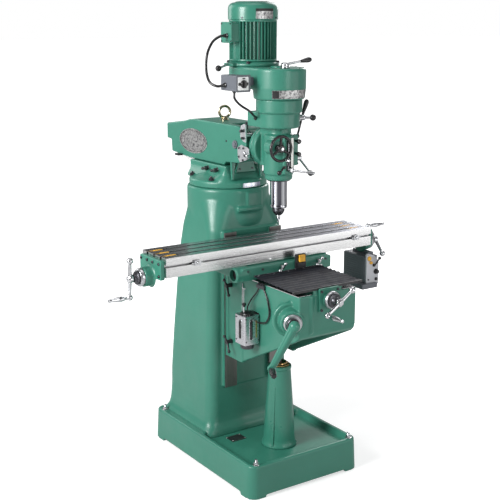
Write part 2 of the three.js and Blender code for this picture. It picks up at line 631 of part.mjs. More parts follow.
const beltLoop = (radius) => join(
  barZ(0, 0, 1997, 2007, radius, radius, 28),
  barZ(0, MOTOR_Y, 1997, 2007, radius, radius, 28),
  box(-radius, radius, 0, MOTOR_Y, 1997, 2007),
);
add('drive_belt', BLACK, cut(beltLoop(58), beltLoop(51.2)));

// The box's bracket is trimmed to clear the belt housing.
function switchBox() {
  const clear = DRUM_R + GAP;
  const bracket = cut(
    box(-173, -110, 30, 110, 1990, 2034),
    barZ(0, 0, 1900, 2100, clear, clear, 28),
    prismZ([[-clear, 0], [0, 0], [0, MOTOR_Y], [-CASE_MOTOR_R - GAP, MOTOR_Y]], 1900, 2100),
  );
  return join(box(-247, -172, 0, 137, 1968, 2042), bracket);
}
add('switch_box', GREY, switchBox());
add('switch_knob', BLACK, join(
  barY(-9, -GAP, -209, 2003, 15), box(-213, -205, -20, -8, 1988, 2018)));

// ---- controls on the head ----------------------------------------------------------
function handwheel() {
  const rimRadius = 59;
  const onWheel = (y, radius, degrees) => vec(
    HANDWHEEL_X + radius * Math.cos(degrees * RAD), y,
    HANDWHEEL_Z + radius * Math.sin(degrees * RAD));
  const spokes = [90, 210, 330].map(
    (degrees) => bar(onWheel(-102, 0, 0), onWheel(-104, 58, degrees), 7, 6, 8));
  return join(
    ring(onWheel(-104, 0, 0), rimRadius, 7, 20),
    ...spokes,
    barY(-114, -90, HANDWHEEL_X, HANDWHEEL_Z, 19),
    barY(-92, -22, HANDWHEEL_X, HANDWHEEL_Z, 12),
    turnAlong(onWheel(-109, rimRadius, -70), FRONT, [[0, 0], [6, 0], [9, 16], [8, 34], [0, 38]]),
  );
}
add('fine_feed_handwheel', BLACK, handwheel());

const feedLeverTip = vec(134, -84, 1560);
add('quill_feed_lever', CHROME, join(
  barX(78.3, 132, 0, 1628.5, 15),
  bar(vec(122, 0, 1628.5), feedLeverTip, 6.5, 5.5, 16),
  ball(feedLeverTip, 13),
));
add('feed_rate_knob', BLACK, join(
  barX(78.3, 98, -38, 1712, 10), barX(98, 104, -38, 1712, 7)));
add('quill_lock_lever', CHROME, join(
  barY(-98, -82.3, 12, 1586, 13),
  bar(vec(12, -92, 1586), vec(78, -122, 1574), 6, 5, 16),
  bar(vec(78, -122, 1574), vec(112, -138, 1568), 6, 9, 16),
));
add('feed_trip_lever', BLACK, cut(
  join(
    bar(vec(-30, -86, 1600), vec(-30, -82.3, 1600), 5),
    ballLever(vec(-30, -86, 1604), vec(-66, -96, 1580), 5, 11),
  ),
  box(-40, -26.4, -82.2, 0, 1500, 1700), // keeps the root clear of the head
));
const brakeStemTop = vec(122, -32, 1850);
add('spindle_brake_lever', BLACK, join(
  barX(78.3, 96, -30, 1741, 10),
  bar(vec(90, -30, 1741), brakeStemTop, 5, 5, 10),
  turnAlong(brakeStemTop, vec(18, -4, 58), [
    [0, -2], [6, -2], [10, 30], [12, 55], [8, 68], [0, 72],
  ]),
));

const rangeAxis = vec(0.75, -0.66, 0).normalize();
const onRangeAxis = (distance) => vec(0, 0, 1836).addScaledVector(rangeAxis, distance);
add('speed_range_lever', CHROME, join(
  bar(onRangeAxis(103.8), onRangeAxis(128), 13),
  bar(onRangeAxis(127), onRangeAxis(156), 6, 6, 10),
  ball(onRangeAxis(165), 15),
));
add('speed_change_lever', CHROME, join(
  barZ(-10, -60, DRUM_Z1 + GAP, 2100, 22),
  bar(vec(-10, -60, 2092), vec(72, -74, 2104), 6, 5.5, 16),
  turnAlong(vec(70.4, -74.07, 2104.06), vec(80, -14, 12), [
    [0, 0], [6, 0], [10, 20], [12.5, 46], [9, 56], [0, 58],
  ]),
));
add('belt_tension_lever', BLACK, join(
  bar(vec(-149.5, MOTOR_Y, 2083), vec(-204, MOTOR_Y - 8, 2068), 5, 5, 10),
  ball(vec(-210, MOTOR_Y - 9, 2066.5), 14),
));

// ---- quill and spindle -------------------------------------------------------------
add('quill', STEEL, turnZ(0, 0, [
  [26, QUILL_BOTTOM], [39, QUILL_BOTTOM], [QUILL_R, QUILL_BOTTOM + 5],
  [QUILL_R, QUILL_TOP], [26, QUILL_TOP],
], 20));
add('spindle', STEEL, turnZ(0, 0, [
  [0, 1352], [16, 1352], [25, 1362], [30, 1374], [30, 1388.6], [25.6, 1388.6],
  [25.6, 1702], [16.5, 1706], [16.5, 1935], [0, 1935],
], 20));
add('end_mill', STEEL, join(
  barZ(0, 0, 1332, 1351.7, 10, 10, 20), barZ(0, 0, 1318, 1332, 8, 8, 20)));

export default machine;
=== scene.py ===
"""A turret milling machine with its knee, table, ram and head.

Everything is drawn in machine millimetres: x to the right, y to the back, z up from the
floor, with the spindle on x = y = 0. to_frame() gives the CAD frame's place in metres.
"""
from math import asin, cos, pi, radians, sin

import bmesh
import bpy
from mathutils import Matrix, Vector


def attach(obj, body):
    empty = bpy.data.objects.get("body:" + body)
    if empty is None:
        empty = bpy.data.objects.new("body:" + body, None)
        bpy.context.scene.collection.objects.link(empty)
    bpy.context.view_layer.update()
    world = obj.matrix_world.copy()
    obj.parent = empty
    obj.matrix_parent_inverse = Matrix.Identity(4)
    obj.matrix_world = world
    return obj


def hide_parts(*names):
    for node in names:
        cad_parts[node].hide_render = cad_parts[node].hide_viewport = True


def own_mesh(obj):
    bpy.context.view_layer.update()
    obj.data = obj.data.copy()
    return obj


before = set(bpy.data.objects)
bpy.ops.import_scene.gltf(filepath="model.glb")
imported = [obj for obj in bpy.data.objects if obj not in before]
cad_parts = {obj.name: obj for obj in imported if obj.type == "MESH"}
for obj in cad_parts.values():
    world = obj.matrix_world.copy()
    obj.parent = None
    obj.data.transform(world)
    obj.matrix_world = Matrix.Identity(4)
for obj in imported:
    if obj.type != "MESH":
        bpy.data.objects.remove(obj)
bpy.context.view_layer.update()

SPINDLE_X, SPINDLE_Y = 43.0, -161.75    # the spindle axis in the CAD frame

RIGHT, BACK, UP = (1, 0, 0), (0, 1, 0), (0, 0, 1)
LEFT, FRONT, DOWN = (-1, 0, 0), (0, -1, 0), (0, 0, -1)


def to_frame(point):
    x, y, z = point
    return Vector(((x + SPINDLE_X) / 1000.0, (y + SPINDLE_Y) / 1000.0, z / 1000.0))


# ------------------------------------------------------------------ geometry kit
def basis(axis):
    """The unit axis and two unit vectors square to it."""
    axis = Vector(axis).normalized()
    helper = Vector(UP) if abs(axis.z) < 0.9 else Vector(RIGHT)
    side = axis.cross(helper).normalized()
    return axis, side, axis.cross(side)


def caps(rows, count):
    """End faces for rows of count points."""
    return [list(range(count))[::-1], list(range((rows - 1) * count, rows * count))]


def skin(rows, count):
    """Side faces between rows of count points."""
    return [[k * count + i, k * count + (i + 1) % count,
             (k + 1) * count + (i + 1) % count, (k + 1) * count + i]
            for k in range(rows - 1) for i in range(count)]


def polar(radius, degrees, centre_y=0):
    return radius * cos(radians(degrees)), centre_y + radius * sin(radians(degrees))


def round_rect(x0, x1, y0, y1, radius, steps=8):
    """Outline with rounded corners, counter-clockwise."""
    corners = ((x1 - radius, y0 + radius, -90), (x1 - radius, y1 - radius, 0),
               (x0 + radius, y1 - radius, 90), (x0 + radius, y0 + radius, 180))
    return [(x + radius * cos(radians(start + 90 * i / steps)),
             y + radius * sin(radians(start + 90 * i / steps)))
            for x, y, start in corners for i in range(steps + 1)]


def smooth_path(points, steps):
    """Catmull-Rom curve through the points."""
    ends = [Vector(p) for p in points]
    ends = [ends[0] * 2 - ends[1]] + ends + [ends[-1] * 2 - ends[-2]]
    out = []
    for k in range(1, len(ends) - 2):
        a, b, c, d = ends[k - 1:k + 3]
        for j in range(steps):
            t = j / steps
            out.append(0.5 * ((2 * b) + (c - a) * t + (2 * a - 5 * b + 4 * c - d) * t * t
                              + (3 * b - a - 3 * c + d) * t ** 3))
    return out + [ends[-2]]


class Shape:
    """Closed solids in machine millimetres, gathered into one mesh."""

    def __init__(self):
        self.points, self.faces = [], []

    def add(self, points, faces):
        first = len(self.points)
        self.points += [Vector(p) for p in points]
        self.faces += [[i + first for i in face] for face in faces]
        return self

    def stack(self, points, count):
        """A solid from rows of count points."""
        rows = len(points) // count
        return self.add(points, caps(rows, count) + skin(rows, count))

    def lathe(self, profile, at=(0, 0, 0), axis=UP, sides=48):
        """Turns (radius, height) points; a profile off the axis at both ends closes as a ring."""
        axis, side, across = basis(axis)
        at = Vector(at)
        points, rings = [], []
        for radius, height in profile:
            first = len(points)
            if radius <= 1e-6:
                points.append(at + axis * height)
            else:
                points += [at + axis * height + side * (radius * cos(2 * pi * i / sides))
                           + across * (radius * sin(2 * pi * i / sides)) for i in range(sides)]
            rings.append(range(first, len(points)))
        pairs = list(zip(rings, rings[1:]))
        if profile[0][0] > 1e-6 and profile[-1][0] > 1e-6:
            pairs.append((rings[-1], rings[0]))
        faces = []
        for low, high in pairs:
            for i in range(sides):
                j = (i + 1) % sides
                if len(low) == 1:
                    faces.append([low[0], high[j], high[i]])
                elif len(high) == 1:
                    faces.append([low[i], low[j], high[0]])
                else:
                    faces.append([low[i], low[j], high[j], high[i]])
        return self.add(points, faces)

    def rod(self, start, end, radius, end_radius=None, sides=40, chamfer=0):
        start, end = Vector(start), Vector(end)
        length = (end - start).length
        end_radius = radius if end_radius is None else end_radius
        near, far = [(radius, 0)], [(end_radius, length)]
        if chamfer:
            ease = chamfer * 0.3
            near = [(radius - chamfer, 0), (radius - ease, ease), (radius, chamfer)]
            far = [(end_radius, length - chamfer), (end_radius - ease, length - ease),
                   (end_radius - chamfer, length)]
        return self.lathe([(0, 0), *near, *far, (0, length)], start, end - start, sides)

    def pipe(self, start, end, outer, inner, sides=48, chamfer=0.8):
        start, end = Vector(start), Vector(end)
        length = (end - start).length
        profile = [(inner, 0), (outer - chamfer, 0), (outer, chamfer), (outer, length - chamfer),
                   (outer - chamfer, length), (inner, length)]
        return self.lathe(profile, start, end - start, sides)

    def ball(self, at, radius, sides=28, rings=16):
        profile = [(radius * sin(pi * i / rings), -radius * cos(pi * i / rings))
                   for i in range(rings + 1)]
        profile[0], profile[-1] = (0, -radius), (0, radius)
        return self.lathe(profile, at, UP, sides)

    def box(self, x0, x1, y0, y1, z0, z1):
        points = [(x, y, z) for z in (z0, z1) for y in (y0, y1) for x in (x0, x1)]
        return self.add(points, [[0, 2, 3, 1], [4, 5, 7, 6], [0, 1, 5, 4],
                                 [2, 6, 7, 3], [0, 4, 6, 2], [1, 3, 7, 5]])

    def prism(self, outline, axis, start, end):
        """Extrudes along X, Y or Z; the outline holds the other two coordinates in order."""
        slot = "XYZ".index(axis)
        return self.stack([(*p[:slot], t, *p[slot:]) for t in (start, end) for p in outline],
                          len(outline))

    def loft(self, sections):
        """Joins (z, outline) sections."""
        return self.stack([(x, y, z) for z, outline in sections for x, y in outline],
                          len(sections[0][1]))

    def torus(self, at, axis, radius, thickness, sides=56, rings=14):
        axis, side, across = basis(axis)
        at = Vector(at)
        points, faces = [], []
        for i in range(sides):
            angle = 2 * pi * i / sides
            outward = side * cos(angle) + across * sin(angle)
            points += [at + outward * (radius + thickness * cos(2 * pi * j / rings))
                       + axis * (thickness * sin(2 * pi * j / rings)) for j in range(rings)]
            after = (i + 1) % sides
            faces += [[i * rings + j, after * rings + j, after * rings + (j + 1) % rings,
                       i * rings + (j + 1) % rings] for j in range(rings)]
        return self.add(points, faces)

    def tube(self, places, radius, sides=14, steps=10):
        """A round tube on a smooth path."""
        line = smooth_path(places, steps)
        side = basis(line[1] - line[0])[1]
        points = []
        for i, place in enumerate(line):
            along = (line[min(i + 1, len(line) - 1)] - line[max(i - 1, 0)]).normalized()
            side = (side - along * side.dot(along)).normalized()
            across = along.cross(side)
            points += [place + side * (radius * cos(2 * pi * j / sides))
                       + across * (radius * sin(2 * pi * j / sides)) for j in range(sides)]
        return self.add(points, skin(len(line), sides) + caps(len(line), sides))

    def thread(self, at, axis, radius, length, pitch=5.0, sides=24):
        axis, side, across = basis(axis)
        at = Vector(at)
        steps = int(length / pitch * 4)
        points = []
        for k in range(steps + 1):
            for i in range(sides):
                height = length * k / steps
                in_groove = (height / pitch - i / sides) % 1.0 >= 0.5
                points.append(at + axis * height + (side * cos(2 * pi * i / sides)
                              + across * sin(2 * pi * i / sides)) * (radius - 1.9 * in_groove))
        return self.add(points, skin(steps + 1, sides) + caps(steps + 1, sides))

    def nut(self, at, axis, radius, height):
        """A hexagon on a round washer."""
        seat = Vector(at) + Vector(axis).normalized() * 1.6
        self.rod(at, seat, radius * 1.25, sides=28)
        return self.lathe([(0, 0), (radius, 0), (radius, height * 0.86), (radius * 0.9, height),
                           (0, height)], seat, axis, 6)

    def screws(self, places, axis, radius, height):
        """Round screw heads, each with a recess."""
        floor = height - radius * 0.5
        profile = [(0, 0), (radius, 0), (radius, height - 1), (radius - 1, height),
                   (radius * 0.55, height), (radius * 0.5, floor), (0, floor)]
        for place in places:
            self.lathe(profile, place, axis, 20)
        return self

    def arms(self, hub, radius, tip_radius, *tips):
        """Tapered arms from a hub to balled tips, each tip a (place, ball radius)."""
        for place, _ in tips:
            self.rod(hub, place, radius, tip_radius, sides=20)
        for place, ball_radius in tips:
            self.ball(place, ball_radius)
        return self

    def arc_plate(self, bottom, top, arc, steps, centre_y=0):
        """A plate bent round a vertical axis; bottom and top are (z, inner, outer radius)."""
        start, end = arc
        for i in range(steps):
            low, high = (radians(start + (end - start) * k / steps) for k in (i, i + 1))
            points = [(radius * cos(angle), centre_y + radius * sin(angle), z)
                      for z, inner, outer in (bottom, top)
                      for radius, angle in ((inner, low), (outer, low),
                                            (outer, high), (inner, high))]
            faces = [[3, 2, 1, 0], [4, 5, 6, 7], [1, 2, 6, 5], [3, 0, 4, 7]]
            if i == 0:
                faces.append([0, 1, 5, 4])
            if i == steps - 1:
                faces.append([2, 3, 7, 6])
            self.add(points, faces)
        return self

    def tick(self, foot, outward, sideways, along, depth, half_width):
        """A graduation bar from foot to foot + along; depth is its (inner, outer) reach."""
        inner, outer = depth
        return self.stack([foot + outward * reach + sideways * offset + step
                           for step in (Vector(), along)
                           for reach, offset in ((inner, -half_width), (outer, -half_width),
                                                 (outer, half_width), (inner, half_width))], 4)


def mesh_of(shape, name):
    mesh = bpy.data.meshes.new(name)
    mesh.from_pydata([to_frame(p) for p in shape.points], [], shape.faces)
    mesh.update()
    work = bmesh.new()
    work.from_mesh(mesh)
    bmesh.ops.recalc_face_normals(work, faces=work.faces)
    work.to_mesh(mesh)
    work.free()
    return mesh


def new_object(shape, name):
    obj = bpy.data.objects.new(name, mesh_of(shape, name))
    bpy.context.scene.collection.objects.link(obj)
    return obj


def bake(obj):
    """Applies the object's modifiers to its mesh."""
    graph = bpy.context.evaluated_depsgraph_get()
    mesh = bpy.data.meshes.new_from_object(obj.evaluated_get(graph), depsgraph=graph)
    obj.modifiers.clear()
    obj.data = mesh


def part(name, shape, material, body, replaces=None, cut=(), voxel=None, smooth=0,
         bevel=None, segments=2, sharp=38):
    """Builds one object. A voxel size gives a soft casting, a bevel a machined edge."""
    obj = new_object(shape, name)
    for cutter in cut:
        tool = new_object(cutter, name + "_cut")
        boolean = obj.modifiers.new("cut", "BOOLEAN")
        boolean.operation, boolean.solver, boolean.object = "DIFFERENCE", "EXACT", tool
        boolean.use_self = True
        bake(obj)
        bpy.data.objects.remove(tool)
    if voxel:
        remesh = obj.modifiers.new("remesh", "REMESH")
        remesh.mode, remesh.voxel_size = "VOXEL", voxel / 1000.0
        soften = obj.modifiers.new("smooth", "SMOOTH")
        soften.factor, soften.iterations = 0.5, smooth
        bake(obj)
        obj.data.shade_smooth()
    else:
        if bevel:
            edge = obj.modifiers.new("bevel", "BEVEL")
            edge.width, edge.segments = bevel / 1000.0, segments
            edge.limit_method, edge.angle_limit = "ANGLE", radians(32)
            bake(obj)
        obj.data.shade_smooth()
        obj.data.set_sharp_from_angle(angle=radians(sharp))
        if bevel:
            obj.modifiers.new("weighted", "WEIGHTED_NORMAL").keep_sharp = True
    obj.data.materials.clear()
    obj.data.materials.append(material)
    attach(obj, body)
    if replaces:
        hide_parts(replaces)
    return obj


# ------------------------------------------------------------------ materials
class Nodes:
    """Short ways to add shader nodes to a tree."""

    def __init__(self, tree):
        self.tree = tree

    def node(self, kind, **settings):
        node = self.tree.nodes.new(kind)
        for key, value in settings.items():
            setattr(node, key, value)
        return node

    def feed(self, socket, value):
        """Gives a socket a number, a colour or a link."""
        if isinstance(value, (int, float)):
            socket.default_value = value
        elif isinstance(value, tuple):
            socket.default_value = (*value, 1)
        else:
            self.tree.links.new(value, socket)

    def multiply(self, first, second):
        node = self.node("ShaderNodeMath", operation="MULTIPLY")
        self.feed(node.inputs[0], first)
        self.feed(node.inputs[1], second)
        return node.outputs[0]

    def mix(self, factor, first, second):
        node = self.node("ShaderNodeMix", data_type="RGBA")
        for index, value in ((0, factor), (6, first), (7, second)):
            self.feed(node.inputs[index], value)
        return node.outputs[2]

    def remap(self, value, over, to=(0, 1)):
        node = self.node("ShaderNodeMapRange")
        for index, limit in enumerate((*over, *to), 1):
            node.inputs[index].default_value = limit
        self.feed(node.inputs[0], value)
        return node.outputs[0]

    def split(self, vector):
        node = self.node("ShaderNodeSeparateXYZ")
        self.feed(node.inputs[0], vector)
        return node.outputs


class Shader(Nodes):
    """A Principled material on object coordinates."""

    def __init__(self, name):
        self.material = bpy.data.materials.new(name)
        self.material.use_nodes = True
        super().__init__(self.material.node_tree)
        self.inputs = self.tree.nodes["Principled BSDF"].inputs
        self.coords = self.node("ShaderNodeTexCoord").outputs["Object"]

    def noise(self, scale, detail=4, rough=0.55, stretch=None):
        node = self.node("ShaderNodeTexNoise")
        node.inputs["Scale"].default_value = scale
        node.inputs["Detail"].default_value = detail
        node.inputs["Roughness"].default_value = rough
        coords = self.coords
        if stretch:
            mapping = self.node("ShaderNodeMapping")
            mapping.inputs["Scale"].default_value = stretch
            self.feed(mapping.inputs["Vector"], coords)
            coords = mapping.outputs["Vector"]
        self.feed(node.inputs["Vector"], coords)
        return node.outputs["Fac"]

    def bump(self, height, strength, distance):
        """Adds a bump on top of any already there."""
        node = self.node("ShaderNodeBump")
        node.inputs["Strength"].default_value = strength
        node.inputs["Distance"].default_value = distance
        self.feed(node.inputs["Height"], height)
        normal = self.inputs["Normal"]
        if normal.is_linked:
            self.feed(node.inputs["Normal"], normal.links[0].from_socket)
        self.feed(normal, node.outputs["Normal"])

    def set(self, **values):
        for key, value in values.items():
            self.feed(self.inputs[key.replace("_", " ")], value)


def shade(colour, factor):
    return tuple(min(1, x * factor) for x in colour)


def paint(name, colour, rough, chips_and_hollow_shade=False, cast=1.0):
    """Enamel, with an option for painted shade in the hollows and chipped edges; cast scales the
    bumps.
    """
    mat = Shader(name)
    broad = mat.noise(scale=2.2, detail=3)
    blotch = mat.noise(scale=14, detail=5)
    grain = mat.noise(scale=260, detail=3)
    tint = mat.mix(mat.remap(broad, over=(0.3, 0.7)), shade(colour, 0.92), shade(colour, 1.07))
    tint = mat.mix(mat.remap(blotch, over=(0.35, 0.75), to=(0, 0.35)), tint, shade(colour, 0.86))
    if chips_and_hollow_shade:
        edge = mat.node("ShaderNodeNewGeometry").outputs["Pointiness"]
        # painted shade: the hollows (low pointiness) darken towards 0.45 of the colour
        hollow_shade = mat.remap(edge, over=(0.50, 0.40), to=(0, 0.55))
        tint = mat.mix(hollow_shade, tint, shade(colour, 0.45))
        flakes = mat.noise(scale=45, detail=6, rough=0.7)
        chips = mat.multiply(mat.remap(edge, over=(0.53, 0.62), to=(0, 0.5)),
                             mat.remap(flakes, over=(0.42, 0.62)))
        bare = tuple(x * 0.7 + 0.12 for x in colour)
        tint = mat.mix(chips, tint, shade(bare, 1.5))
    gloss = mat.remap(mat.noise(scale=9), over=(0.3, 0.7), to=(rough - 0.07, rough + 0.09))
    mat.set(Base_Color=tint, Roughness=gloss, Coat_Weight=0.16, Coat_Roughness=0.16,
            Specular_IOR_Level=0.42)
    mat.bump(mat.noise(scale=28), strength=0.16 * cast, distance=0.002)
    mat.bump(grain, strength=0.10 * cast, distance=0.0004)
    return mat.material


def metal(name, colour, rough, streak, spread, rust=0.0):
    """Worked metal; streak is the grain's scale on x, y, z, spread its roughness swing."""
    mat = Shader(name)
    grain = mat.noise(scale=1.0, detail=3, rough=0.6, stretch=streak)
    broad = mat.noise(scale=5)
    tint = mat.mix(mat.remap(grain, over=(0.3, 0.7)), shade(colour, 0.82), shade(colour, 1.08))
    tint = mat.mix(mat.remap(broad, over=(0.4, 0.75), to=(0, 0.35)), tint, shade(colour, 0.7))
    if rust:
        spots = mat.noise(scale=22, detail=6, rough=0.7)
        tint = mat.mix(mat.remap(spots, over=(0.62, 0.75), to=(0, rust)), tint,
                       (0.19, 0.10, 0.05))
    gloss = mat.remap(grain, over=(0.25, 0.75), to=(max(0.03, rough - spread), rough + spread))
    mat.set(Base_Color=tint, Metallic=1.0, Roughness=gloss)
    mat.bump(grain, strength=0.12, distance=0.0003)
    mat.bump(broad, strength=0.05, distance=0.001)
    return mat.material


def plastic(name, colour, rough, scale=400, bump=0.08, specular=0.5):
    mat = Shader(name)
    tint = mat.mix(mat.remap(mat.noise(scale=16), over=(0.3, 0.7)),
                   shade(colour, 0.8), shade(colour, 1.25))
    gloss = mat.remap(mat.noise(scale=30), over=(0.3, 0.7), to=(rough - 0.08, rough + 0.1))
    mat.set(Base_Color=tint, Roughness=gloss, Specular_IOR_Level=specular)
    mat.bump(mat.noise(scale=scale, detail=3), strength=bump, distance=0.0004)
    return mat.material


def reflection_banded(name, dark, light, streak, rough):
    """Bright metal with dark bands painted on as reflections."""
    mat = Shader(name)
    reflection_bands = mat.noise(scale=1.0, detail=2, rough=0.5, stretch=streak)
    mat.set(Base_Color=mat.mix(mat.remap(reflection_bands, over=(0.42, 0.58)), dark, light),
            Metallic=1.0, Roughness=rough)
    return mat.material


def table_iron(name):
    """Ground iron with painted shade: its upward faces darken towards the right."""
    mat = Shader(name)
    grain = mat.noise(scale=1.0, detail=3, rough=0.6, stretch=(4, 1400, 1400))
    tint = mat.mix(mat.remap(grain, over=(0.3, 0.7)), (0.54, 0.54, 0.54), (0.71, 0.71, 0.71))
    facing = mat.split(mat.node("ShaderNodeNewGeometry").outputs["Normal"])
    place = mat.split(mat.coords)
    # painted shade on the top faces, deepening towards the right
    dark = mat.multiply(mat.remap(facing[2], over=(0.85, 0.97)),
                        mat.remap(place[0], over=(-0.5, 0.55), to=(0.30, 0.82)))
    mat.set(Base_Color=mat.mix(dark, tint, (0.17, 0.18, 0.23)), Metallic=1.0,
            Roughness=mat.remap(grain, over=(0.25, 0.75), to=(0.14, 0.34)))
    mat.bump(grain, strength=0.12, distance=0.0003)
    return mat.material


def etched(name):
    """A blank etched plate: brushed metal with a worn, mottled dark field."""
    mat = Shader(name)
    mottle = mat.noise(scale=90, detail=6, rough=0.75)
    tint = mat.mix(mat.remap(mottle, over=(0.44, 0.60)), (0.55, 0.55, 0.54), (0.10, 0.10, 0.11))
    mat.set(Base_Color=tint, Metallic=0.8,
            Roughness=mat.remap(mat.noise(scale=40), over=(0.3, 0.7), to=(0.28, 0.46)))
    mat.bump(mottle, strength=0.2, distance=0.0004)
    return mat.material


GREEN_COLOUR = (0.034, 0.186, 0.131)
GREEN = paint("green_enamel", GREEN_COLOUR, rough=0.38, chips_and_hollow_shade=True)
GREEN_SMALL = paint("green_enamel_small", GREEN_COLOUR, rough=0.32, cast=0.5)
GREY = paint("grey_enamel", (0.115, 0.125, 0.145), rough=0.42, cast=0.6)
PALE = paint("pale_panel", (0.50, 0.51, 0.54), rough=0.38, cast=0.3)
IRON = metal("ground_iron", (0.66, 0.66, 0.66), rough=0.24, streak=(4, 1400, 1400), spread=0.10)
# the quill's dark and light bands are painted reflections
QUILL_STEEL = reflection_banded("ground_quill_reflection_bands", (0.10, 0.10, 0.12), (0.74, 0.75, 0.78),
                       streak=(42, 42, 0.3), rough=0.16)
# the swivel scale's bluish dark and light bands are painted reflections
SCALE_STEEL = reflection_banded("satin_scale_reflection_bands", (0.24, 0.27, 0.38), (0.78, 0.79, 0.84),
                       streak=(18, 18, 0.3), rough=0.3)
MACHINED = metal("machined_plate", (0.82, 0.83, 0.86), rough=0.42, streak=(160, 160, 160),
                 spread=0.10)
TABLE_IRON = table_iron("ground_table")
# dark iron for the column ways and knee dovetail: its darkness is painted shade of the recess;
# the spots are rust
SHADED_WAY_IRON = metal("scraped_way_iron_painted_shade", (0.22, 0.21, 0.20), rough=0.36, streak=(500, 500, 8),
                spread=0.10, rust=0.15)
CHROME = metal("chrome", (0.66, 0.67, 0.69), rough=0.12, streak=(90, 90, 90), spread=0.04)
ALUMINIUM = metal("dial_aluminium", (0.56, 0.57, 0.59), rough=0.3, streak=(300, 300, 300),
                  spread=0.06)
DARK_STEEL = metal("dark_steel", (0.10, 0.10, 0.11), rough=0.36, streak=(200, 200, 200),
                   spread=0.08)
BRONZE = metal("bronze", (0.62, 0.40, 0.18), rough=0.26, streak=(60, 60, 900), spread=0.07)
GOLD = metal("gold_plated_zinc", (0.50, 0.44, 0.30), rough=0.2, streak=(120, 120, 120),
             spread=0.06)
BLACK = plastic("black_phenolic", (0.012, 0.012, 0.013), rough=0.22)
BLACK_ENAMEL = plastic("black_enamel", (0.018, 0.018, 0.02), rough=0.4, scale=250, bump=0.12)
RUBBER = plastic("black_rubber", (0.013, 0.014, 0.020), rough=0.52, scale=600, bump=0.25,
                 specular=0.22)
YELLOW = plastic("yellow_plastic", (0.80, 0.42, 0.03), rough=0.4)
WHITE = plastic("white_plate", (0.78, 0.79, 0.79), rough=0.35)
BRUSHED = metal("brushed_plate", (0.50, 0.50, 0.48), rough=0.36, streak=(900, 40, 40),
                spread=0.08)
ETCHED = etched("etched_plate")
SILVER = metal("lubricator_silver", (0.58, 0.58, 0.61), rough=0.28, streak=(40, 40, 500),
               spread=0.07)
INK = plastic("graduation_ink", (0.01, 0.01, 0.01), rough=0.5)
# near-black for the inside of a hole: painted shade
HOLE_SHADE_BLACK = plastic("painted_hole_shade", (0.004, 0.004, 0.004), rough=0.7)


# ------------------------------------------------------------------ repeated fittings
def dial(name, at, axis, height, radius, body, replaces=None):
    """A ring with 50 graduations round an axis."""
    ring = Shape().lathe([(12.8, 0), (radius - 1.6, 0), (radius, 1.6), (radius, height * 0.62),
                          (radius - 4, height - 1), (radius - 5, height), (12.8, height)],
                         at, axis, 96)
    part(name + "_ring", ring, ALUMINIUM, body, replaces)
    marks = Shape()
    axis, side, across = basis(axis)
    for i in range(50):
        angle = 2 * pi * i / 50
        length = height * (0.42 if i % 10 == 0 else 0.3 if i % 5 == 0 else 0.2)
        outward = side * cos(angle) + across * sin(angle)
        sideways = across * cos(angle) - side * sin(angle)
        marks.tick(Vector(at) + outward * radius + axis * 2, outward, sideways, axis * length,
                   depth=(-0.4, 0.12), half_width=0.45)
    part(name + "_marks", marks, INK, body)


def crank(name, at, axis, toward, reach, counter_reach, body, replaces):
    """A two-armed ball crank; its grip stands on the arm that points toward."""
    at, axis, toward = Vector(at), Vector(axis).normalized(), Vector(toward).normalized()
    hub = 30
    middle = hub * 0.55

    def on_arm(distance):
        return at + axis * middle + toward * distance
    tip = on_arm(reach)
    arm = Shape().lathe([(0, 0), (15, 0), (17, 2), (19, middle - 6), (19.5, middle + 5),
                         (14, hub - 3), (11, hub), (0, hub)], at, axis)
    arm.rod(on_arm(0), tip, 10, 7.2, sides=32)
    arm.rod(on_arm(0), on_arm(-counter_reach), 10, 7.2, sides=32)
    arm.ball(tip, 15, 32, 20).ball(on_arm(-counter_reach), 16, 32, 20)
    part(name + "_arm", arm, CHROME, body, replaces, voxel=1.3, smooth=5)
    grip = Shape().lathe([(0, 0), (8, 0), (8.5, 4), (7, 8), (9, 14), (12.6, 30), (13.2, 44),
                          (11, 62), (8, 80), (7.6, 88), (9, 94), (7, 99), (0, 100)],
                         tip + axis * 12, axis, 40)
    part(name + "_grip", grip, CHROME, body)


# ------------------------------------------------------------------ base
BASE_HALF_WIDTH, BASE_FRONT, BASE_REAR = 340, -262, 715
PEDESTAL_Y = -20        # axis of the elevating screw


def base_outline(inset, corner):
    return round_rect(-BASE_HALF_WIDTH + inset, BASE_HALF_WIDTH - inset,
                      BASE_FRONT + inset, BASE_REAR - inset, corner)


base = Shape().loft([(0, base_outline(0, 46)), (167, base_outline(7, 42)),
                     (173, base_outline(13, 38))])
part("base_body", base, GREEN, "stand", "base_casting", voxel=4.5, smooth=9, cut=[
    Shape().loft([(140, round_rect(-296, 296, -216, 240, 20)),
                  (176, round_rect(-309, 309, -230, 240, 30))]),
    Shape().loft([(-5, base_outline(20, 28)), (118, base_outline(27, 24))]),
    Shape().box(-250, 250, BASE_FRONT - 10, BASE_REAR + 10, -5, 12),
    Shape().box(-BASE_HALF_WIDTH - 10, BASE_HALF_WIDTH + 10, -160, 610, -5, 12),
    Shape().rod((0, PEDESTAL_Y, 60), (0, PEDESTAL_Y, 200), 26, sides=48)])

# ------------------------------------------------------------------ column
COLUMN_Y = 460          # axis of the round neck and of the turret
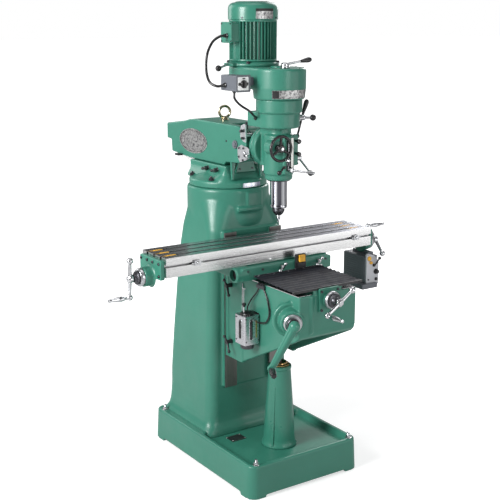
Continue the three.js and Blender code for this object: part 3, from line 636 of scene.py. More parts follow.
# z, half width, front y, rear y, corner radius
COLUMN_STATIONS = [
    (139, 300, 216, 706, 52), (160, 296, 219, 706, 52), (173, 290, 223, 705, 52),
    (181, 283, 227, 702, 52), (192, 275, 232, 698, 52), (208, 268, 238, 695, 52),
    (235, 262.5, 243, 692, 52), (275, 259, 247, 690, 52), (320, 257, 250, 688, 52),
    (405, 256, 252, 686, 50), (625, 247, 252, 672, 50), (893, 236, 252, 650, 52),
    (1138, 227, 252, 620, 58), (1240, 222, 252, 606, 70), (1330, 214, 262, 604, 110),
    (1400, 205, 268, 620, 160)]
column = Shape().loft([(z, round_rect(-half, half, front, rear, corner))
                       for z, half, front, rear, corner in COLUMN_STATIONS])
column.lathe([(0, 1235), (196, 1235), (213, 1262), (217.5, 1290), (217.5, 1436), (214, 1446),
              (208, 1449.6), (0, 1449.6)], (0, COLUMN_Y, 0), sides=96)
column.box(-176, 176, 221.5, 300, 405, 1240)
# raised panel on the round neck and the plain rib under it: z range, radius, start angle
for bottom, top, outer, start in ((1366, 1430, 225, -96), (1332, 1356, 232, -110)):
    steps, end = 14, -70
    points = []
    for i in range(steps + 1):
        angle = radians(start + (end - start) * i / steps)
        points += [(radius * cos(angle), COLUMN_Y + radius * sin(angle), z)
                   for z in (bottom, top) for radius in (208, outer)]
    last = 4 * steps
    column.add(points, [[4 * i + a, 4 * i + b, 4 * i + 4 + b, 4 * i + 4 + a]
                        for i in range(steps) for a, b in ((0, 1), (1, 3), (3, 2), (2, 0))]
               + [[0, 1, 3, 2], [last + 2, last + 3, last + 1, last]])
part("column_body", column, GREEN, "stand", "column_casting", voxel=5.0,
     smooth=10, cut=[Shape().prism([(-105, 200), (105, 200), (105, 221), (121, 246),
                                    (-121, 246), (-105, 221)], "Z", 278, 1246)])
ways = Shape()
for side in (-1, 1):
    ways.box(*sorted((side * 105, side * 176.3)), 218.9, 230, 405.5, 1239)
part("column_ways", ways, SHADED_WAY_IRON, "stand", bevel=0.8)
part("column_way_floor", Shape().box(-119, 119, 243.2, 250, 405.5, 1238), GREEN_SMALL, "stand",
     bevel=0.5)

# ------------------------------------------------------------------ screw pedestal
part("screw_pedestal", Shape().lathe([
    (24, 140.5), (88, 140.5), (92, 143), (92, 149), (88, 157), (83.5, 170), (82, 186),
    (58.5, 540), (57, 547), (58, 553), (61, 557), (61, 569), (59, 572), (24, 572)],
    (0, PEDESTAL_Y, 0), sides=96), GREEN_SMALL, "stand", "knee_screw_pedestal",
    bevel=1.2)
rib_out, rib_side = Vector((-0.86, -0.5, 0)), Vector((0.5, -0.86, 0))
part("pedestal_rib", Shape().stack(
    [Vector((0, PEDESTAL_Y, z)) + rib_out * reach + rib_side * offset
     for z, inner, outer in ((150, 62, 93), (470, 41, 65))
     for reach, offset in ((inner, -8), (outer, -6), (outer, 6), (inner, 8))], 4),
    GREEN_SMALL, "stand", bevel=3.0, segments=3)
part("pedestal_bronze_nut", Shape().lathe([
    (13.6, 572.3), (49, 572.3), (50, 574), (50, 579), (48, 581), (40, 583), (38, 588),
    (36, 590), (13.6, 590)], (0, PEDESTAL_Y, 0), sides=64), BRONZE, "stand", "pedestal_nut")

# ------------------------------------------------------------------ base fittings
levelling = Shape()
for x, y in ((-292, -232), (292, -232), (-309, 640), (309, 640)):
    foot = 172.5
    levelling.rod((x, y, foot), (x, y, foot + 3), 17, chamfer=0.8)
    levelling.lathe([(0, 0), (12, 0), (12, 10), (10.5, 12), (0, 12)], (x, y, foot + 3), sides=6)
    levelling.rod((x, y, foot + 12), (x, y, foot + 30), 6.5, 6.2, sides=20, chamfer=1)
    for k in range(6):
        levelling.torus((x, y, foot + 15 + 2.4 * k), UP, 6.4, 0.7, 20, 6)
part("levelling_screws", levelling, CHROME, "stand")
part("tray_plate", Shape().box(-200, -112, 118, 186, 140, 142.2), BLACK_ENAMEL, "stand",
     bevel=0.8)
rivets = Shape()
for x in (-194, -118):
    for y in (124, 180):
        rivets.lathe([(0, 0), (3.4, 0), (2.6, 1.2), (0, 1.6)], (x, y, 142.2), sides=16)
for y in (121, 182):
    rivets.box(-197, -115, y, y + 1, 142.2, 142.7)
part("tray_plate_rivets", rivets, BRUSHED, "stand")

# ------------------------------------------------------------------ knee
KNEE_FRONT, KNEE_TOP, KNEE_BOTTOM = -407, 1046, 588
CRANK_ANGLE = radians(28)       # the knee crank's axis, swung from the front to the left
CRANK_AXIS = Vector((-sin(CRANK_ANGLE), -cos(CRANK_ANGLE), 0))
CRANK_ACROSS = Vector((-cos(CRANK_ANGLE), sin(CRANK_ANGLE), 0))


def on_crank(along, across=0, up=0):
    """A place measured from the crank axis where it meets the elevating screw."""
    return (Vector((0, PEDESTAL_Y, 925)) + CRANK_AXIS * along + CRANK_ACROSS * across
            + Vector((0, 0, up)))


knee = Shape().prism([(KNEE_FRONT, KNEE_TOP), (KNEE_FRONT, 866), (KNEE_FRONT + 6, 842),
                      (KNEE_FRONT + 26, 822), (80, KNEE_BOTTOM), (205, KNEE_BOTTOM),
                      (205, KNEE_TOP)], "X", -170, 170)
knee.box(-175.5, 175.5, 66, 218, KNEE_BOTTOM, KNEE_TOP)
knee.rod(on_crank(290), on_crank(425.5), 72, 56, sides=64)
knee.torus(on_crank(362), CRANK_AXIS, 76, 13, 48, 14)
knee.prism([(-80, KNEE_TOP - 4), (80, KNEE_TOP - 4), (80, KNEE_TOP), (92, KNEE_TOP + 20),
            (-92, KNEE_TOP + 20), (-80, KNEE_TOP)], "Y", KNEE_FRONT + 4, 205)
knee.box(-106, -90, -413, -380, 858, 1040)
part("knee_body", knee, GREEN, "knee", "knee_casting", voxel=4.0, smooth=8, cut=[
    Shape().prism([(KNEE_FRONT + 22, KNEE_TOP - 26), (KNEE_FRONT + 22, 700), (-300, 540),
                   (190, 540), (190, KNEE_TOP - 26)], "X", -146, 146),
    Shape().box(-38, 38, -330, 195, KNEE_TOP - 32, KNEE_TOP + 26),
    Shape().rod(on_crank(270), on_crank(440), 14, sides=32)])
ways = Shape()
for side in (-1, 1):
    ways.prism([(side * 82, KNEE_TOP + 1), (side * 170, KNEE_TOP + 1),
                (side * 170, KNEE_TOP - 3), (side * 82, KNEE_TOP - 3)],
               "Y", KNEE_FRONT + 8, 216)
part("knee_ways", ways, IRON, "knee", bevel=0.6)
part("knee_dovetail", Shape().prism([(-100, 200), (100, 200), (103.2, 219), (119, 244),
                                     (-119, 244), (-103.2, 219)],
                                    "Z", KNEE_BOTTOM + 1, KNEE_TOP - 1),
     SHADED_WAY_IRON, "knee", bevel=0.8)
part("knee_gib_strip", Shape().box(-177.6, -175, 186, 215, KNEE_BOTTOM + 4, KNEE_TOP - 4),
     GREEN_SMALL, "knee", bevel=0.8)

# plate and boss for the cross feed
CROSS_Z = 1015
plate = Shape().prism(round_rect(-60, 60, 955, 1072, 8), "Y", -418, KNEE_FRONT - 0.2)
plate.lathe([(0, 0), (42, 0), (38, 3), (38, 12), (36.5, 13), (0, 13)], (0, -418, CROSS_Z),
            FRONT, 64)
part("cross_feed_plate", plate, GREEN_SMALL, "knee", "cross_feed_bracket",
     bevel=1.6)
part("cross_feed_plate_screws",
     Shape().screws([(x, -418, z) for x in (-48, 48) for z in (967, 1058)], FRONT, 6.5, 6),
     DARK_STEEL, "knee")

# ------------------------------------------------------------------ knee crank
shaft = Shape().lathe([(0, 36), (20, 36), (24, 40), (24, 58), (12.6, 62), (12.6, 461), (0, 461)],
                      on_crank(0), CRANK_AXIS)
shaft.lathe([(12, 0), (27, 0), (29, 2), (29, 9), (26, 12), (18, 12.5), (18, 18), (12, 18)],
            on_crank(442.2), CRANK_AXIS, 64)
part("knee_shaft", shaft, DARK_STEEL, "knee_crank", "knee_crank_shaft")
dial("knee_dial", on_crank(426.5), CRANK_AXIS, 15, 44.5, "knee_crank")
ARM_LENGTH = 228
ARM_ACROSS, ARM_UP = 106 / ARM_LENGTH, -201 / ARM_LENGTH      # the arm's slope


def on_arm(along, reach, offset=0):
    """A place on the crank arm: along the axis, out along the arm, square to both."""
    return on_crank(along, ARM_ACROSS * reach - ARM_UP * offset,
                    ARM_UP * reach + ARM_ACROSS * offset)


arm = Shape().rod(on_crank(461.3), on_crank(492), 24, 22, sides=48)
arm.rod(on_crank(489), on_crank(496), 18, 14, sides=48)
arm.rod(on_arm(479, 0), on_arm(479, ARM_LENGTH), 17, 12, sides=32)
for offset in (-14, 14):
    arm.rod(on_arm(479, 14, offset), on_arm(479, ARM_LENGTH, offset * 0.55), 10.5, 8.5, sides=24)
arm.rod(on_arm(479, 16, -12), on_arm(479, 16, 12), 13, sides=24)
arm.ball(on_arm(479, 0), 27)
arm.rod(on_arm(468, ARM_LENGTH), on_arm(490, ARM_LENGTH), 18)
part("knee_crank_arm", arm, GREEN_SMALL, "knee_crank", "knee_crank", voxel=1.6,
     smooth=6)
part("knee_crank_grip", Shape().lathe([
    (0, 0), (10, 0), (10, 4), (13, 6), (16.5, 26), (16.5, 42), (13, 72), (13.5, 82), (11, 88),
    (0, 90)], on_arm(490, ARM_LENGTH), CRANK_AXIS, 40), BLACK, "knee_crank")
part("knee_crank_pin", Shape().screws([on_arm(468, ARM_LENGTH)], -CRANK_AXIS, 14, 5),
     DARK_STEEL, "knee_crank")
part("knee_crank_nut", Shape().screws([on_crank(496)], CRANK_AXIS, 10, 4), DARK_STEEL,
     "knee_crank")

screw = Shape().thread((0, PEDESTAL_Y, 380), UP, 13, 572)
screw.lathe([(0, 950), (60, 952), (52, 966), (13, 967), (13, 984.5), (0, 984.5)],
            (0, PEDESTAL_Y, 0))
part("elevating_screw_thread", screw, DARK_STEEL, "elevating_screw", "elevating_screw")

# ------------------------------------------------------------------ lubricator
LUBE_X, LUBE_Y = -215, -42      # axis of its cap and bowl


def ring_of_rods(shape, count, circle, radius, z0, z1, sides):
    """Small upright rods round the lubricator's axis."""
    for k in range(count):
        angle = 2 * pi * k / count
        x, y = LUBE_X + circle * cos(angle), LUBE_Y + circle * sin(angle)
        shape.rod((x, y, z0), (x, y, z1), radius, sides=sides)


part("lubricator_case", Shape().prism(round_rect(-260, -173, -87, 2, 7), "Z", 736, 884),
     SILVER, "knee", "lubricator", bevel=1.2)
cap = Shape().lathe([(0, 883), (36, 883), (36, 890), (33, 894), (24, 896), (20, 899), (9, 900),
                     (0, 900)], (LUBE_X, LUBE_Y, 0), sides=56)
cap.box(-172, -169.8, -80, -6, 740, 890)
ring_of_rods(cap, 24, 35.6, 1.8, 884, 889.5, 8)
part("lubricator_cap", cap, BLACK, "knee")
bowl = Shape().lathe([(0, 706), (24, 706), (31, 709), (33, 714), (33, 730), (38, 732),
                      (38, 738), (0, 738)], (LUBE_X, LUBE_Y, 0), sides=56)
ring_of_rods(bowl, 12, 32.4, 2.4, 712, 730, 10)
part("lubricator_bowl", bowl, DARK_STEEL, "knee")
windows = Shape().rod((-260.2, -46, 768), (-260.2, -46, 862), 7.5, sides=24, chamfer=5)
windows.rod((-222, -87.6, 764), (-222, -87.6, 866), 7.0, sides=24, chamfer=5)
part("lubricator_sight_windows", windows, BLACK, "knee")
frames = Shape()
for x, y, across, bottom, top, radius in ((-260.4, -46, BACK, 768, 862, 11),
                                          (-222, -87.4, RIGHT, 764, 866, 10.5)):
    loop = []
    for i in range(33):
        angle = 2 * pi * i / 32
        z = (top - 9 if sin(angle) >= 0 else bottom + 9) + radius * sin(angle)
        loop.append(Vector((x, y, z)) + Vector(across) * (radius * cos(angle)))
    frames.tube(loop, 1.7, 8, 2)
part("lubricator_window_frames", frames, CHROME, "knee")
part("lubricator_brass_strip", Shape().box(-196, -187, -88.8, -87, 770, 858), BRONZE, "knee",
     bevel=0.5)
screws = Shape()
for z in (756, 872):
    screws.screws([(-252, -87, z), (-180, -87, z)], FRONT, 3.4, 3)
    screws.screws([(-260, -12, z)], LEFT, 3.4, 3)
screws.screws([(-178, -60, 752)], FRONT, 5, 12)
part("lubricator_screws", screws, DARK_STEEL, "knee")
pull = Shape().rod((-235, -42, 893), (-235, -42, 928), 3.6, sides=20)
pull.rod((-235, -42, 940), (-235, -42, 1016), 1.9, sides=16)
pull.rod((-235, -56, 1018), (-235, -28, 1018), 3.2, sides=20, chamfer=1)
part("lubricator_pull_rod", pull, CHROME, "lubricator_pull")
part("lubricator_pull_ball", Shape().lathe([
    (0, 0), (5, 0), (6, 4), (10, 8), (11, 14), (9, 20), (0, 22)], (-235, -42, 924), sides=32),
    BLACK, "lubricator_pull", "lubricator_pull_knob")

# hoses from the lubricator to the manifold block on the knee's left side
hoses = Shape().tube([(-199, -60, 858), (-188, -96, 850), (-180, -150, 862), (-178, -176, 905),
                      (-178, -168, 960), (-176, -140, 1005), (-175, -118, 1030)], 4.2)
hoses.tube([(-196, -20, 872), (-190, -6, 905), (-184, -30, 950), (-180, -66, 990),
            (-176, -88, 1026)], 3.6)
part("oil_hoses", hoses, BLACK, "knee")
manifold = Shape().prism(round_rect(-184, -169, -136, -72, 3, 3), "Z", 1022, 1040)
for y in (-124, -104, -84):
    manifold.lathe([(0, 0), (6, 0), (6, 5), (4, 8), (0, 9)], (-176, y, 1040), sides=6)
part("oil_manifold", manifold, DARK_STEEL, "knee", bevel=0.6)
part("oil_line", Shape().tube([(-174, 60, 1010), (-177, 58, 960), (-178, 58, 900),
                               (-178, 56, 850), (-176, 40, 820), (-172, 10, 812)], 2.2),
     CHROME, "knee")

for level, z in (("upper", 981), ("lower", 681)):
    handle = Shape().rod((-212, 160, z), (-176.4, 160, z), 9.5, 11.5, sides=32, chamfer=1)
    handle.arms((-204, 160, z), 6.4, 4.6, ((-214, 128, z - 42), 8.5), ((-209, 177, z + 26), 8.5))
    part(f"knee_lock_{level}_handle", handle, BLACK_ENAMEL, f"knee_lock_{level}",
         f"knee_lock_lever_{level}", voxel=1.3, smooth=4)

# ------------------------------------------------------------------ pleated way cover
COVER_FRONT, COVER_LENGTH, COVER_FOLDS = -399, 315.0, 10
cover_ys = [COVER_FRONT + COVER_LENGTH * i / (2 * COVER_FOLDS)
            for i in range(2 * COVER_FOLDS + 1)]
cover_top = [(y, 1071.5 + 7.5 * (y - COVER_FRONT) / 315 + (4.6 if i % 2 else -0.6))
             for i, y in enumerate(cover_ys)]
cover_bottom = [(y, z - 2.6) for y, z in cover_top]
cover = part("way_cover_folds", Shape().prism(cover_top + cover_bottom[::-1], "X", -204, 209),
             RUBBER, "knee", "way_cover_bellows", bevel=0.45, sharp=25)
strip = Shape().box(-206, 211, -404, -398, 1064, 1076)
strip.screws([(x, -404, 1070) for x in (-190, -95, 0, 95, 190)], FRONT, 3.6, 2.4)
part("way_cover_front_strip", strip, BLACK_ENAMEL, "knee", bevel=0.6)
strip = Shape().box(-206, 211, -90, -80.5, 1078, 1088)
strip.screws([(x, -90, 1083) for x in (-180, -90, 0, 90, 180)], FRONT, 3.2, 2)
part("way_cover_rear_strip", strip, CHROME, "saddle", bevel=0.6)

# ------------------------------------------------------------------ cross feed
shaft = Shape().thread((0, -386, CROSS_Z), BACK, 13.8, 556)
shaft.rod((0, -476, CROSS_Z), (0, -380, CROSS_Z), 12.4, sides=32)
shaft.lathe([(12, 0), (34, 0), (36, 2), (36, 8), (32, 11), (24, 12), (21, 18), (20, 27),
             (12, 27)], (0, -450.4, CROSS_Z), FRONT, 64)
part("cross_feed_shaft", shaft, DARK_STEEL, "cross_feed", "cross_feed_screw")
dial("cross_dial", (0, -432, CROSS_Z), FRONT, 18, 43.5, "cross_feed", "cross_feed_dial")
crank("cross_crank", (0, -478, CROSS_Z), FRONT, (-0.82, 0, -0.572), 88, 88, "cross_feed",
      "cross_feed_crank")

# ------------------------------------------------------------------ saddle
SADDLE_HALF, SADDLE_TOP = 285, 1129.6
TABLE_Y, TABLE_SCREW_Z = 77, 1123
screw_bore = Shape().rod((-320, TABLE_Y, TABLE_SCREW_Z), (320, TABLE_Y, TABLE_SCREW_Z), 17,
                         sides=32)
saddle = Shape().prism([(-30, KNEE_TOP + 26), (186, KNEE_TOP + 26), (186, SADDLE_TOP),
                        (-30, SADDLE_TOP)], "X", -SADDLE_HALF, SADDLE_HALF)
saddle.prism(round_rect(-272, 276, 1063, SADDLE_TOP - 4, 8), "Y", -80, -20)
saddle.box(-166, 166, -30, 186, KNEE_TOP + 1, KNEE_TOP + 30)
saddle.rod((-300, -46, 1093), (-225, -46, 1093), 38, sides=64, chamfer=2)
part("saddle_body", saddle, GREEN, "saddle", "saddle_casting", voxel=3.4,
     smooth=6, cut=[
         Shape().prism([(-81, KNEE_TOP - 4), (81, KNEE_TOP - 4), (81, KNEE_TOP),
                        (93, KNEE_TOP + 20.6), (-93, KNEE_TOP + 20.6), (-81, KNEE_TOP)],
                       "Y", -120, 220),
         Shape().rod((-310, -46, 1093), (-270, -46, 1093), 31, sides=48), screw_bore])
part("saddle_dovetail", Shape().prism([
    (15, SADDLE_TOP - 3), (139, SADDLE_TOP - 3), (139.5, SADDLE_TOP), (151, 1151.7),
    (3, 1151.7), (14.5, SADDLE_TOP)], "X", -SADDLE_HALF + 1, SADDLE_HALF - 1),
    IRON, "saddle", bevel=0.7, cut=[screw_bore])
part("saddle_bearing_ring", Shape().lathe([(29, 0), (33, 0), (34, 1), (34, 6), (29, 6)],
                                          (-302, -46, 1093), RIGHT, 56),
     GREEN_SMALL, "saddle")
# a near-black plug deep in the bearing bore: painted shade of the hole
part("saddle_bearing_hole_shade", Shape().lathe([(0, 0), (9, 0), (9, 3), (30, 3), (30, 14), (0, 14)],
                                          (-284, -46, 1093), RIGHT),
     HOLE_SHADE_BLACK, "saddle")
nut = Shape().pipe((0, 110, CROSS_Z), (0, 150, CROSS_Z), 26, 14.6)
part("cross_nut", nut.box(-17, 17, 112, 148, 1040, 1066), BRONZE, "saddle", "cross_feed_nut",
     bevel=0.5)
for side, x in (("left", -40), ("right", 190)):
    handle = Shape().rod((x, -99, 1108), (x, -80.4, 1108), 10, 11, sides=32, chamfer=1)
    handle.arms((x, -95, 1108), 6, 4.8, ((x - 27, -113, 1097), 9), ((x + 15, -101, 1124), 8))
    part(f"saddle_lock_{side}_handle", handle, CHROME, f"saddle_lock_{side}",
         f"saddle_lock_lever_{side}", voxel=1.3, smooth=4)
bracket = Shape().prism(round_rect(44, 104, 1088, 1160, 4, 4), "Y", -94, -80)
part("table_stop_bracket", bracket.box(50, 98, -104, -92, 1096, 1118), BLACK_ENAMEL, "saddle",
     bevel=1.0)
part("table_stop_block", Shape().prism(round_rect(58, 92, 1122, 1156, 2, 3), "Y", -106, -94),
     YELLOW, "saddle", bevel=0.8)
screws = Shape().screws([(x, -94, z) for x in (52, 97) for z in (1094, 1152)], FRONT, 4, 3)
screws.screws([(x, -80, 1110) for x in (-236, -150, 240)], FRONT, 6, 3)
part("saddle_screws", screws, DARK_STEEL, "saddle")
screws = Shape()
for x in (-250, -130, 130, 250):
    screws.lathe([(0, 0), (8, 0), (8, 5), (6, 7), (0, 7)], (x, 186, 1112), BACK, 6)
part("saddle_gib_screws", screws, DARK_STEEL, "saddle")

# ------------------------------------------------------------------ table
TABLE_X, TABLE_LENGTH, TABLE_WIDTH = -43, 1244, 229
TABLE_TOP, TABLE_BOTTOM = 1225, 1130
TABLE_L, TABLE_R = TABLE_X - TABLE_LENGTH / 2, TABLE_X + TABLE_LENGTH / 2
TABLE_FRONT, TABLE_REAR = TABLE_Y - TABLE_WIDTH / 2, TABLE_Y + TABLE_WIDTH / 2
SLOT_YS = [TABLE_Y + offset for offset in (63.5, 0, -63.5)]
# half width and depth of a T-slot, along its outline from back to front
SLOT_OUTLINE = [(8, 0), (8, 16), (14, 16), (14, 28), (-14, 28), (-14, 16), (-8, 16), (-8, 0)]
# depth from the front face and z of the groove along it
GROOVE_OUTLINE = [(0, 1190), (12, 1190), (12, 1193), (18, 1193), (18, 1176), (12, 1176),
                  (12, 1179), (0, 1179)]
outline = [(TABLE_FRONT, TABLE_BOTTOM), (TABLE_Y - 62.4, TABLE_BOTTOM), (TABLE_Y - 74.4, 1152.4),
           (TABLE_Y + 74.4, 1152.4), (TABLE_Y + 62.4, TABLE_BOTTOM), (TABLE_REAR, TABLE_BOTTOM),
           (TABLE_REAR, TABLE_TOP)]
outline += [(y + half, TABLE_TOP - depth) for y in SLOT_YS for half, depth in SLOT_OUTLINE]
outline += [(TABLE_FRONT, TABLE_TOP)] + [(TABLE_FRONT + depth, z) for depth, z in GROOVE_OUTLINE]
part("table_slab", Shape().prism(outline, "X", TABLE_L, TABLE_R), TABLE_IRON, "table", "table",
     bevel=0.9)
floors, yellow_plugs, black_plugs = Shape(), Shape(), Shape()
for y in SLOT_YS:
    floors.box(TABLE_L + 2, TABLE_R - 2, y - 13.6, y + 13.6, TABLE_TOP - 27.9, TABLE_TOP - 27.2)
    for x in (TABLE_L + 36, TABLE_R - 96):
        yellow_plugs.box(x, x + 44, y - 7.6, y + 7.6, TABLE_TOP - 14, TABLE_TOP + 0.6)
        black_plugs.box(x + 44.2, x + 62, y - 7.6, y + 7.6, TABLE_TOP - 14, TABLE_TOP + 0.5)
part("slot_floors", floors, DARK_STEEL, "table", bevel=0.2)
part("slot_plugs_yellow", yellow_plugs, YELLOW, "table", bevel=0.8)
part("slot_plugs_black", black_plugs, BLACK, "table", bevel=0.8)
stops = Shape()
for x in (-500, 470):
    stops.prism(round_rect(x - 17, x + 17, 1172, 1198, 5, 4), "Y",
                TABLE_FRONT - 13, TABLE_FRONT + 1)
    stops.rod((x - 30, TABLE_FRONT - 7, 1185), (x + 30, TABLE_FRONT - 7, 1185), 4, sides=20,
              chamfer=0.8)
    stops.lathe([(0, 0), (8, 0), (8, 5), (6.5, 6), (0, 6)], (x, TABLE_FRONT - 13, 1185),
                FRONT, 6)
part("table_stops", stops, CHROME, "table", bevel=0.6)
part("groove_floor", Shape().box(TABLE_L + 3, TABLE_R - 3, TABLE_FRONT + 12.3,
                                 TABLE_FRONT + 17.7, 1177, 1178.4),
     DARK_STEEL, "table")

TABLE_ENDS = (("left", -1, TABLE_L), ("right", 1, TABLE_R))
for side, out, end_x in TABLE_ENDS:
    axis = (out, 0, 0)
    bracket = Shape().prism(round_rect(-24, 178, 1118, 1212, 9, 5), "X",
                            *sorted((end_x + out * 0.3, end_x + out * 22)))
    bracket.lathe([(0, 0), (58, 0), (50, 6), (47, 12), (47, 44), (44, 47), (0, 47)],
                  (end_x + out * 21, TABLE_Y, TABLE_SCREW_Z), axis, 72)
    part(f"table_end_{side}", bracket, GREEN, "table", f"table_bracket_{side}",
         voxel=2.2, smooth=5)
    bolts = [(-8, 1196), (50, 1196), (104, 1196), (162, 1196), (-8, 1136), (162, 1136)]
    part(f"table_end_{side}_bolts",
         Shape().screws([(end_x + out * 21.5, y, z) for y, z in bolts], axis, 7, 6),
         DARK_STEEL, "table")
    dial(f"table_dial_{side}_set", (end_x + out * 70, TABLE_Y, TABLE_SCREW_Z), axis, 20, 43.5,
         "table_feed", f"table_dial_{side}")
shaft = Shape().thread((TABLE_L + 20, TABLE_Y, TABLE_SCREW_Z), RIGHT, 13.8, TABLE_LENGTH - 40)
for _, out, end_x in TABLE_ENDS:
    shaft.rod((end_x - out * 22, TABLE_Y, TABLE_SCREW_Z),
              (end_x + out * 113, TABLE_Y, TABLE_SCREW_Z), 12.4, sides=32)
    shaft.lathe([(12, 0), (30, 0), (32, 2), (32, 8), (28, 11), (22, 12), (19, 18), (19, 23),
                 (12, 23)], (end_x + out * 90.4, TABLE_Y, TABLE_SCREW_Z), (out, 0, 0), 64)
part("table_feed_shaft", shaft, DARK_STEEL, "table_feed", "table_screw")
crank("left_crank", (TABLE_L - 114, TABLE_Y, TABLE_SCREW_Z), LEFT, (0, 0.07, -1), 92, 88,
      "table_feed", "table_crank_left")
crank("right_crank", (TABLE_R + 114, TABLE_Y, TABLE_SCREW_Z), RIGHT, (0, 0.68, 0.73), 88, 92,
      "table_feed", "table_crank_right")

# ------------------------------------------------------------------ power feed
FEED_FACE = -16         # y of the panel's front
case = Shape().prism(round_rect(TABLE_R - 10, TABLE_R + 78, 914, 1060, 7, 5), "Y", -4, 172)
part("power_feed_case", case.box(TABLE_R + 27, TABLE_R + 65, 13, 141, 1056, 1075), GREY,
     "table", "power_feed_gearbox", bevel=2.0)
ribs = Shape()
for z in range(930, 1050, 12):
    ribs.box(TABLE_R - 10.8, TABLE_R - 9, 16, 152, z, z + 5)
part("power_feed_ribs", ribs, GREY, "table", bevel=0.6)
part("power_feed_foot", Shape().prism(
    round_rect(TABLE_R - 44, TABLE_R + 62, 886, 913, 4, 3), "Y", -30, 150),
    GREY, "table", bevel=1.6)
# x from the table's right end, z
PANEL_OUTLINE = [(-6, 903), (-2, 899), (76, 899), (80, 903), (80, 1024), (76, 1032),
                 (52, 1058), (44, 1063), (10, 1074), (-2, 1076), (-6, 1072)]
part("power_feed_panel", Shape().prism([(TABLE_R + x, z) for x, z in PANEL_OUTLINE],
                                       "Y", FEED_FACE, -4.3),
     PALE, "table", bevel=1.4)


def panel_knobs(*knobs):
    """Turned knobs on the panel: x from the table's end, z, sides, profile."""
    shape = Shape()
    for x, z, sides, profile in knobs:
        shape.lathe(profile, (TABLE_R + x, FEED_FACE, z), FRONT, sides)
    return shape


controls = panel_knobs(
    (60, 972, 40, [(0, 0), (15, 0), (15, 3), (12, 4), (11, 16), (9.5, 18), (0, 18)]),
    (62, 930, 32, [(0, 0), (9, 0), (9, 6), (7.5, 8), (0, 8)]),
    (8, 932, 24, [(0, 0), (4, 0), (4, 5), (3, 6), (0, 6)]),
    (44, 1008, 32, [(0, 0), (8, 0), (8, 4), (6, 10), (0, 11)]))
controls.rod((TABLE_R + 44, -24, 1008), (TABLE_R + 62, -40, 1046), 4.5, 4, sides=20)
controls.ball((TABLE_R + 63, -41, 1049), 9)
part("power_feed_controls", controls, BLACK, "table")
part("power_feed_lamp", panel_knobs(
    (12, 1048, 32, [(0, 0), (13, 0), (13, 3), (10, 7), (0, 8)]),
    (24, 1024, 32, [(0, 0), (9, 0), (9, 3), (7, 8), (0, 9)])),
    YELLOW, "table")
part("power_feed_screws", Shape().screws(
    [(TABLE_R + x, FEED_FACE, z) for x, z in ((1, 907), (73, 907), (73, 1020), (1, 1067))],
    FRONT, 3.4, 2), CHROME, "table")

# ------------------------------------------------------------------ turret
TURRET_BOTTOM = 1450
turret = Shape().lathe([
    (0, TURRET_BOTTOM + 0.4), (203, TURRET_BOTTOM + 0.4), (206, TURRET_BOTTOM + 3),
    (206, 1478), (203, 1484), (196, 1489), (178, 1494), (160, 1502), (142, 1512), (124, 1520),
    (116, 1532), (114, 1545), (0, 1545)], (0, COLUMN_Y, 0), sides=96)
# z, half width, front y, rear y, corner radius
turret.loft([(z, round_rect(-half, half, front, rear, corner))
             for z, half, front, rear, corner in (
                 (1484, 158, 286, 668, 70), (1500, 148, 292, 664, 60), (1520, 128, 300, 660, 36),
                 (1540, 119, 305, 658, 16), (1564, 117, 306, 657, 10))])
part("turret_body", turret, GREEN, "turret", "turret_casting", voxel=3.4,
     smooth=7, cut=[Shape().prism([(-61, 1529), (61, 1529), (49, 1567), (-49, 1567)],
                                  "Y", 200, 760)])
part("swivel_scale", Shape().arc_plate((1455, 203, 207.2), (1477, 203, 207.2), (-101, -69), 22,
                                       COLUMN_Y), SCALE_STEEL, "turret")
marks = Shape()
for i in range(31):
    x, y = polar(1, -100 + i)
    foot = Vector((207.3 * x, COLUMN_Y + 207.3 * y, 1455))
    marks.tick(foot, Vector((x, y, 0)), Vector((-y, x, 0)),
               Vector((0, 0, 11 if i % 5 == 0 else 6.5)), depth=(-0.6, 0.1), half_width=0.5)
part("swivel_scale_marks", marks, INK, "turret")
nuts = Shape()
for angle in (-150, -30, 35, 145):
    x, y = polar(190, angle, COLUMN_Y)
    nuts.nut((x, y, 1490), UP, 13, 12)
    nuts.rod((x, y, 1500), (x, y, 1512), 7, sides=24, chamfer=1)
part("turret_clamp_nuts", nuts, DARK_STEEL, "turret")
for place, y in (("front", 380), ("rear", 470)):
    handle = Shape().lathe([(0, 0), (15, 0), (15, 2), (11.5, 3), (11.5, 16), (9, 18), (0, 18)],
                           (-118.3, y, 1538), LEFT, 24)
    handle.arms((-131, y, 1538), 6, 4.6, ((-152, y - 27, 1546), 8.5))
    handle.arms((-131, y, 1538), 6, 4.6, ((-138, y + 22, 1534), 8))
    part(f"ram_lock_{place}_handle", handle, BLACK_ENAMEL, f"ram_lock_{place}",
         f"ram_lock_bolt_{place}", voxel=1.3, smooth=4)

# ------------------------------------------------------------------ ram
NOD_Y, NOD_Z = 235, 1685        # the cross axis the head nods on
nose = [(NOD_Y - 94.5 * cos(radians(q)), NOD_Z - 94.5 * sin(radians(q)))
        for q in range(-90, 91, 5)]
outline = [(930, 1735), (740, 1762), (690, 1774), (640, 1780), *nose, (330, 1584),
           (345, 1566.2), (700, 1566.2), (880, 1582), (884, 1648), (930, 1650)]
part("ram_body", Shape().prism(outline, "X", -100, 100), GREEN, "ram", "ram_casting",
     voxel=3.6, smooth=7, cut=[Shape().box(-60, 60, 90, 335, 1500, 1800),
                                              Shape().box(-46, 46, 400, 960, 1550, 1600)])
part("ram_dovetail", Shape().prism([(-60, 1531), (60, 1531), (48, 1567), (48, 1575),
                                    (-48, 1575), (-48, 1567)], "Y", 300, 860),
     IRON, "ram", bevel=0.8)
front_cap = Shape().prism([(-62, 1531), (62, 1531), (50, 1566), (50, 1600), (-50, 1600),
                           (-50, 1566)], "Y", 288, 300.2)
front_cap.prism([(-70, 1598), (-98, 1598), (-92, 1497), (-84, 1500)], "Y", 276, 289.5)
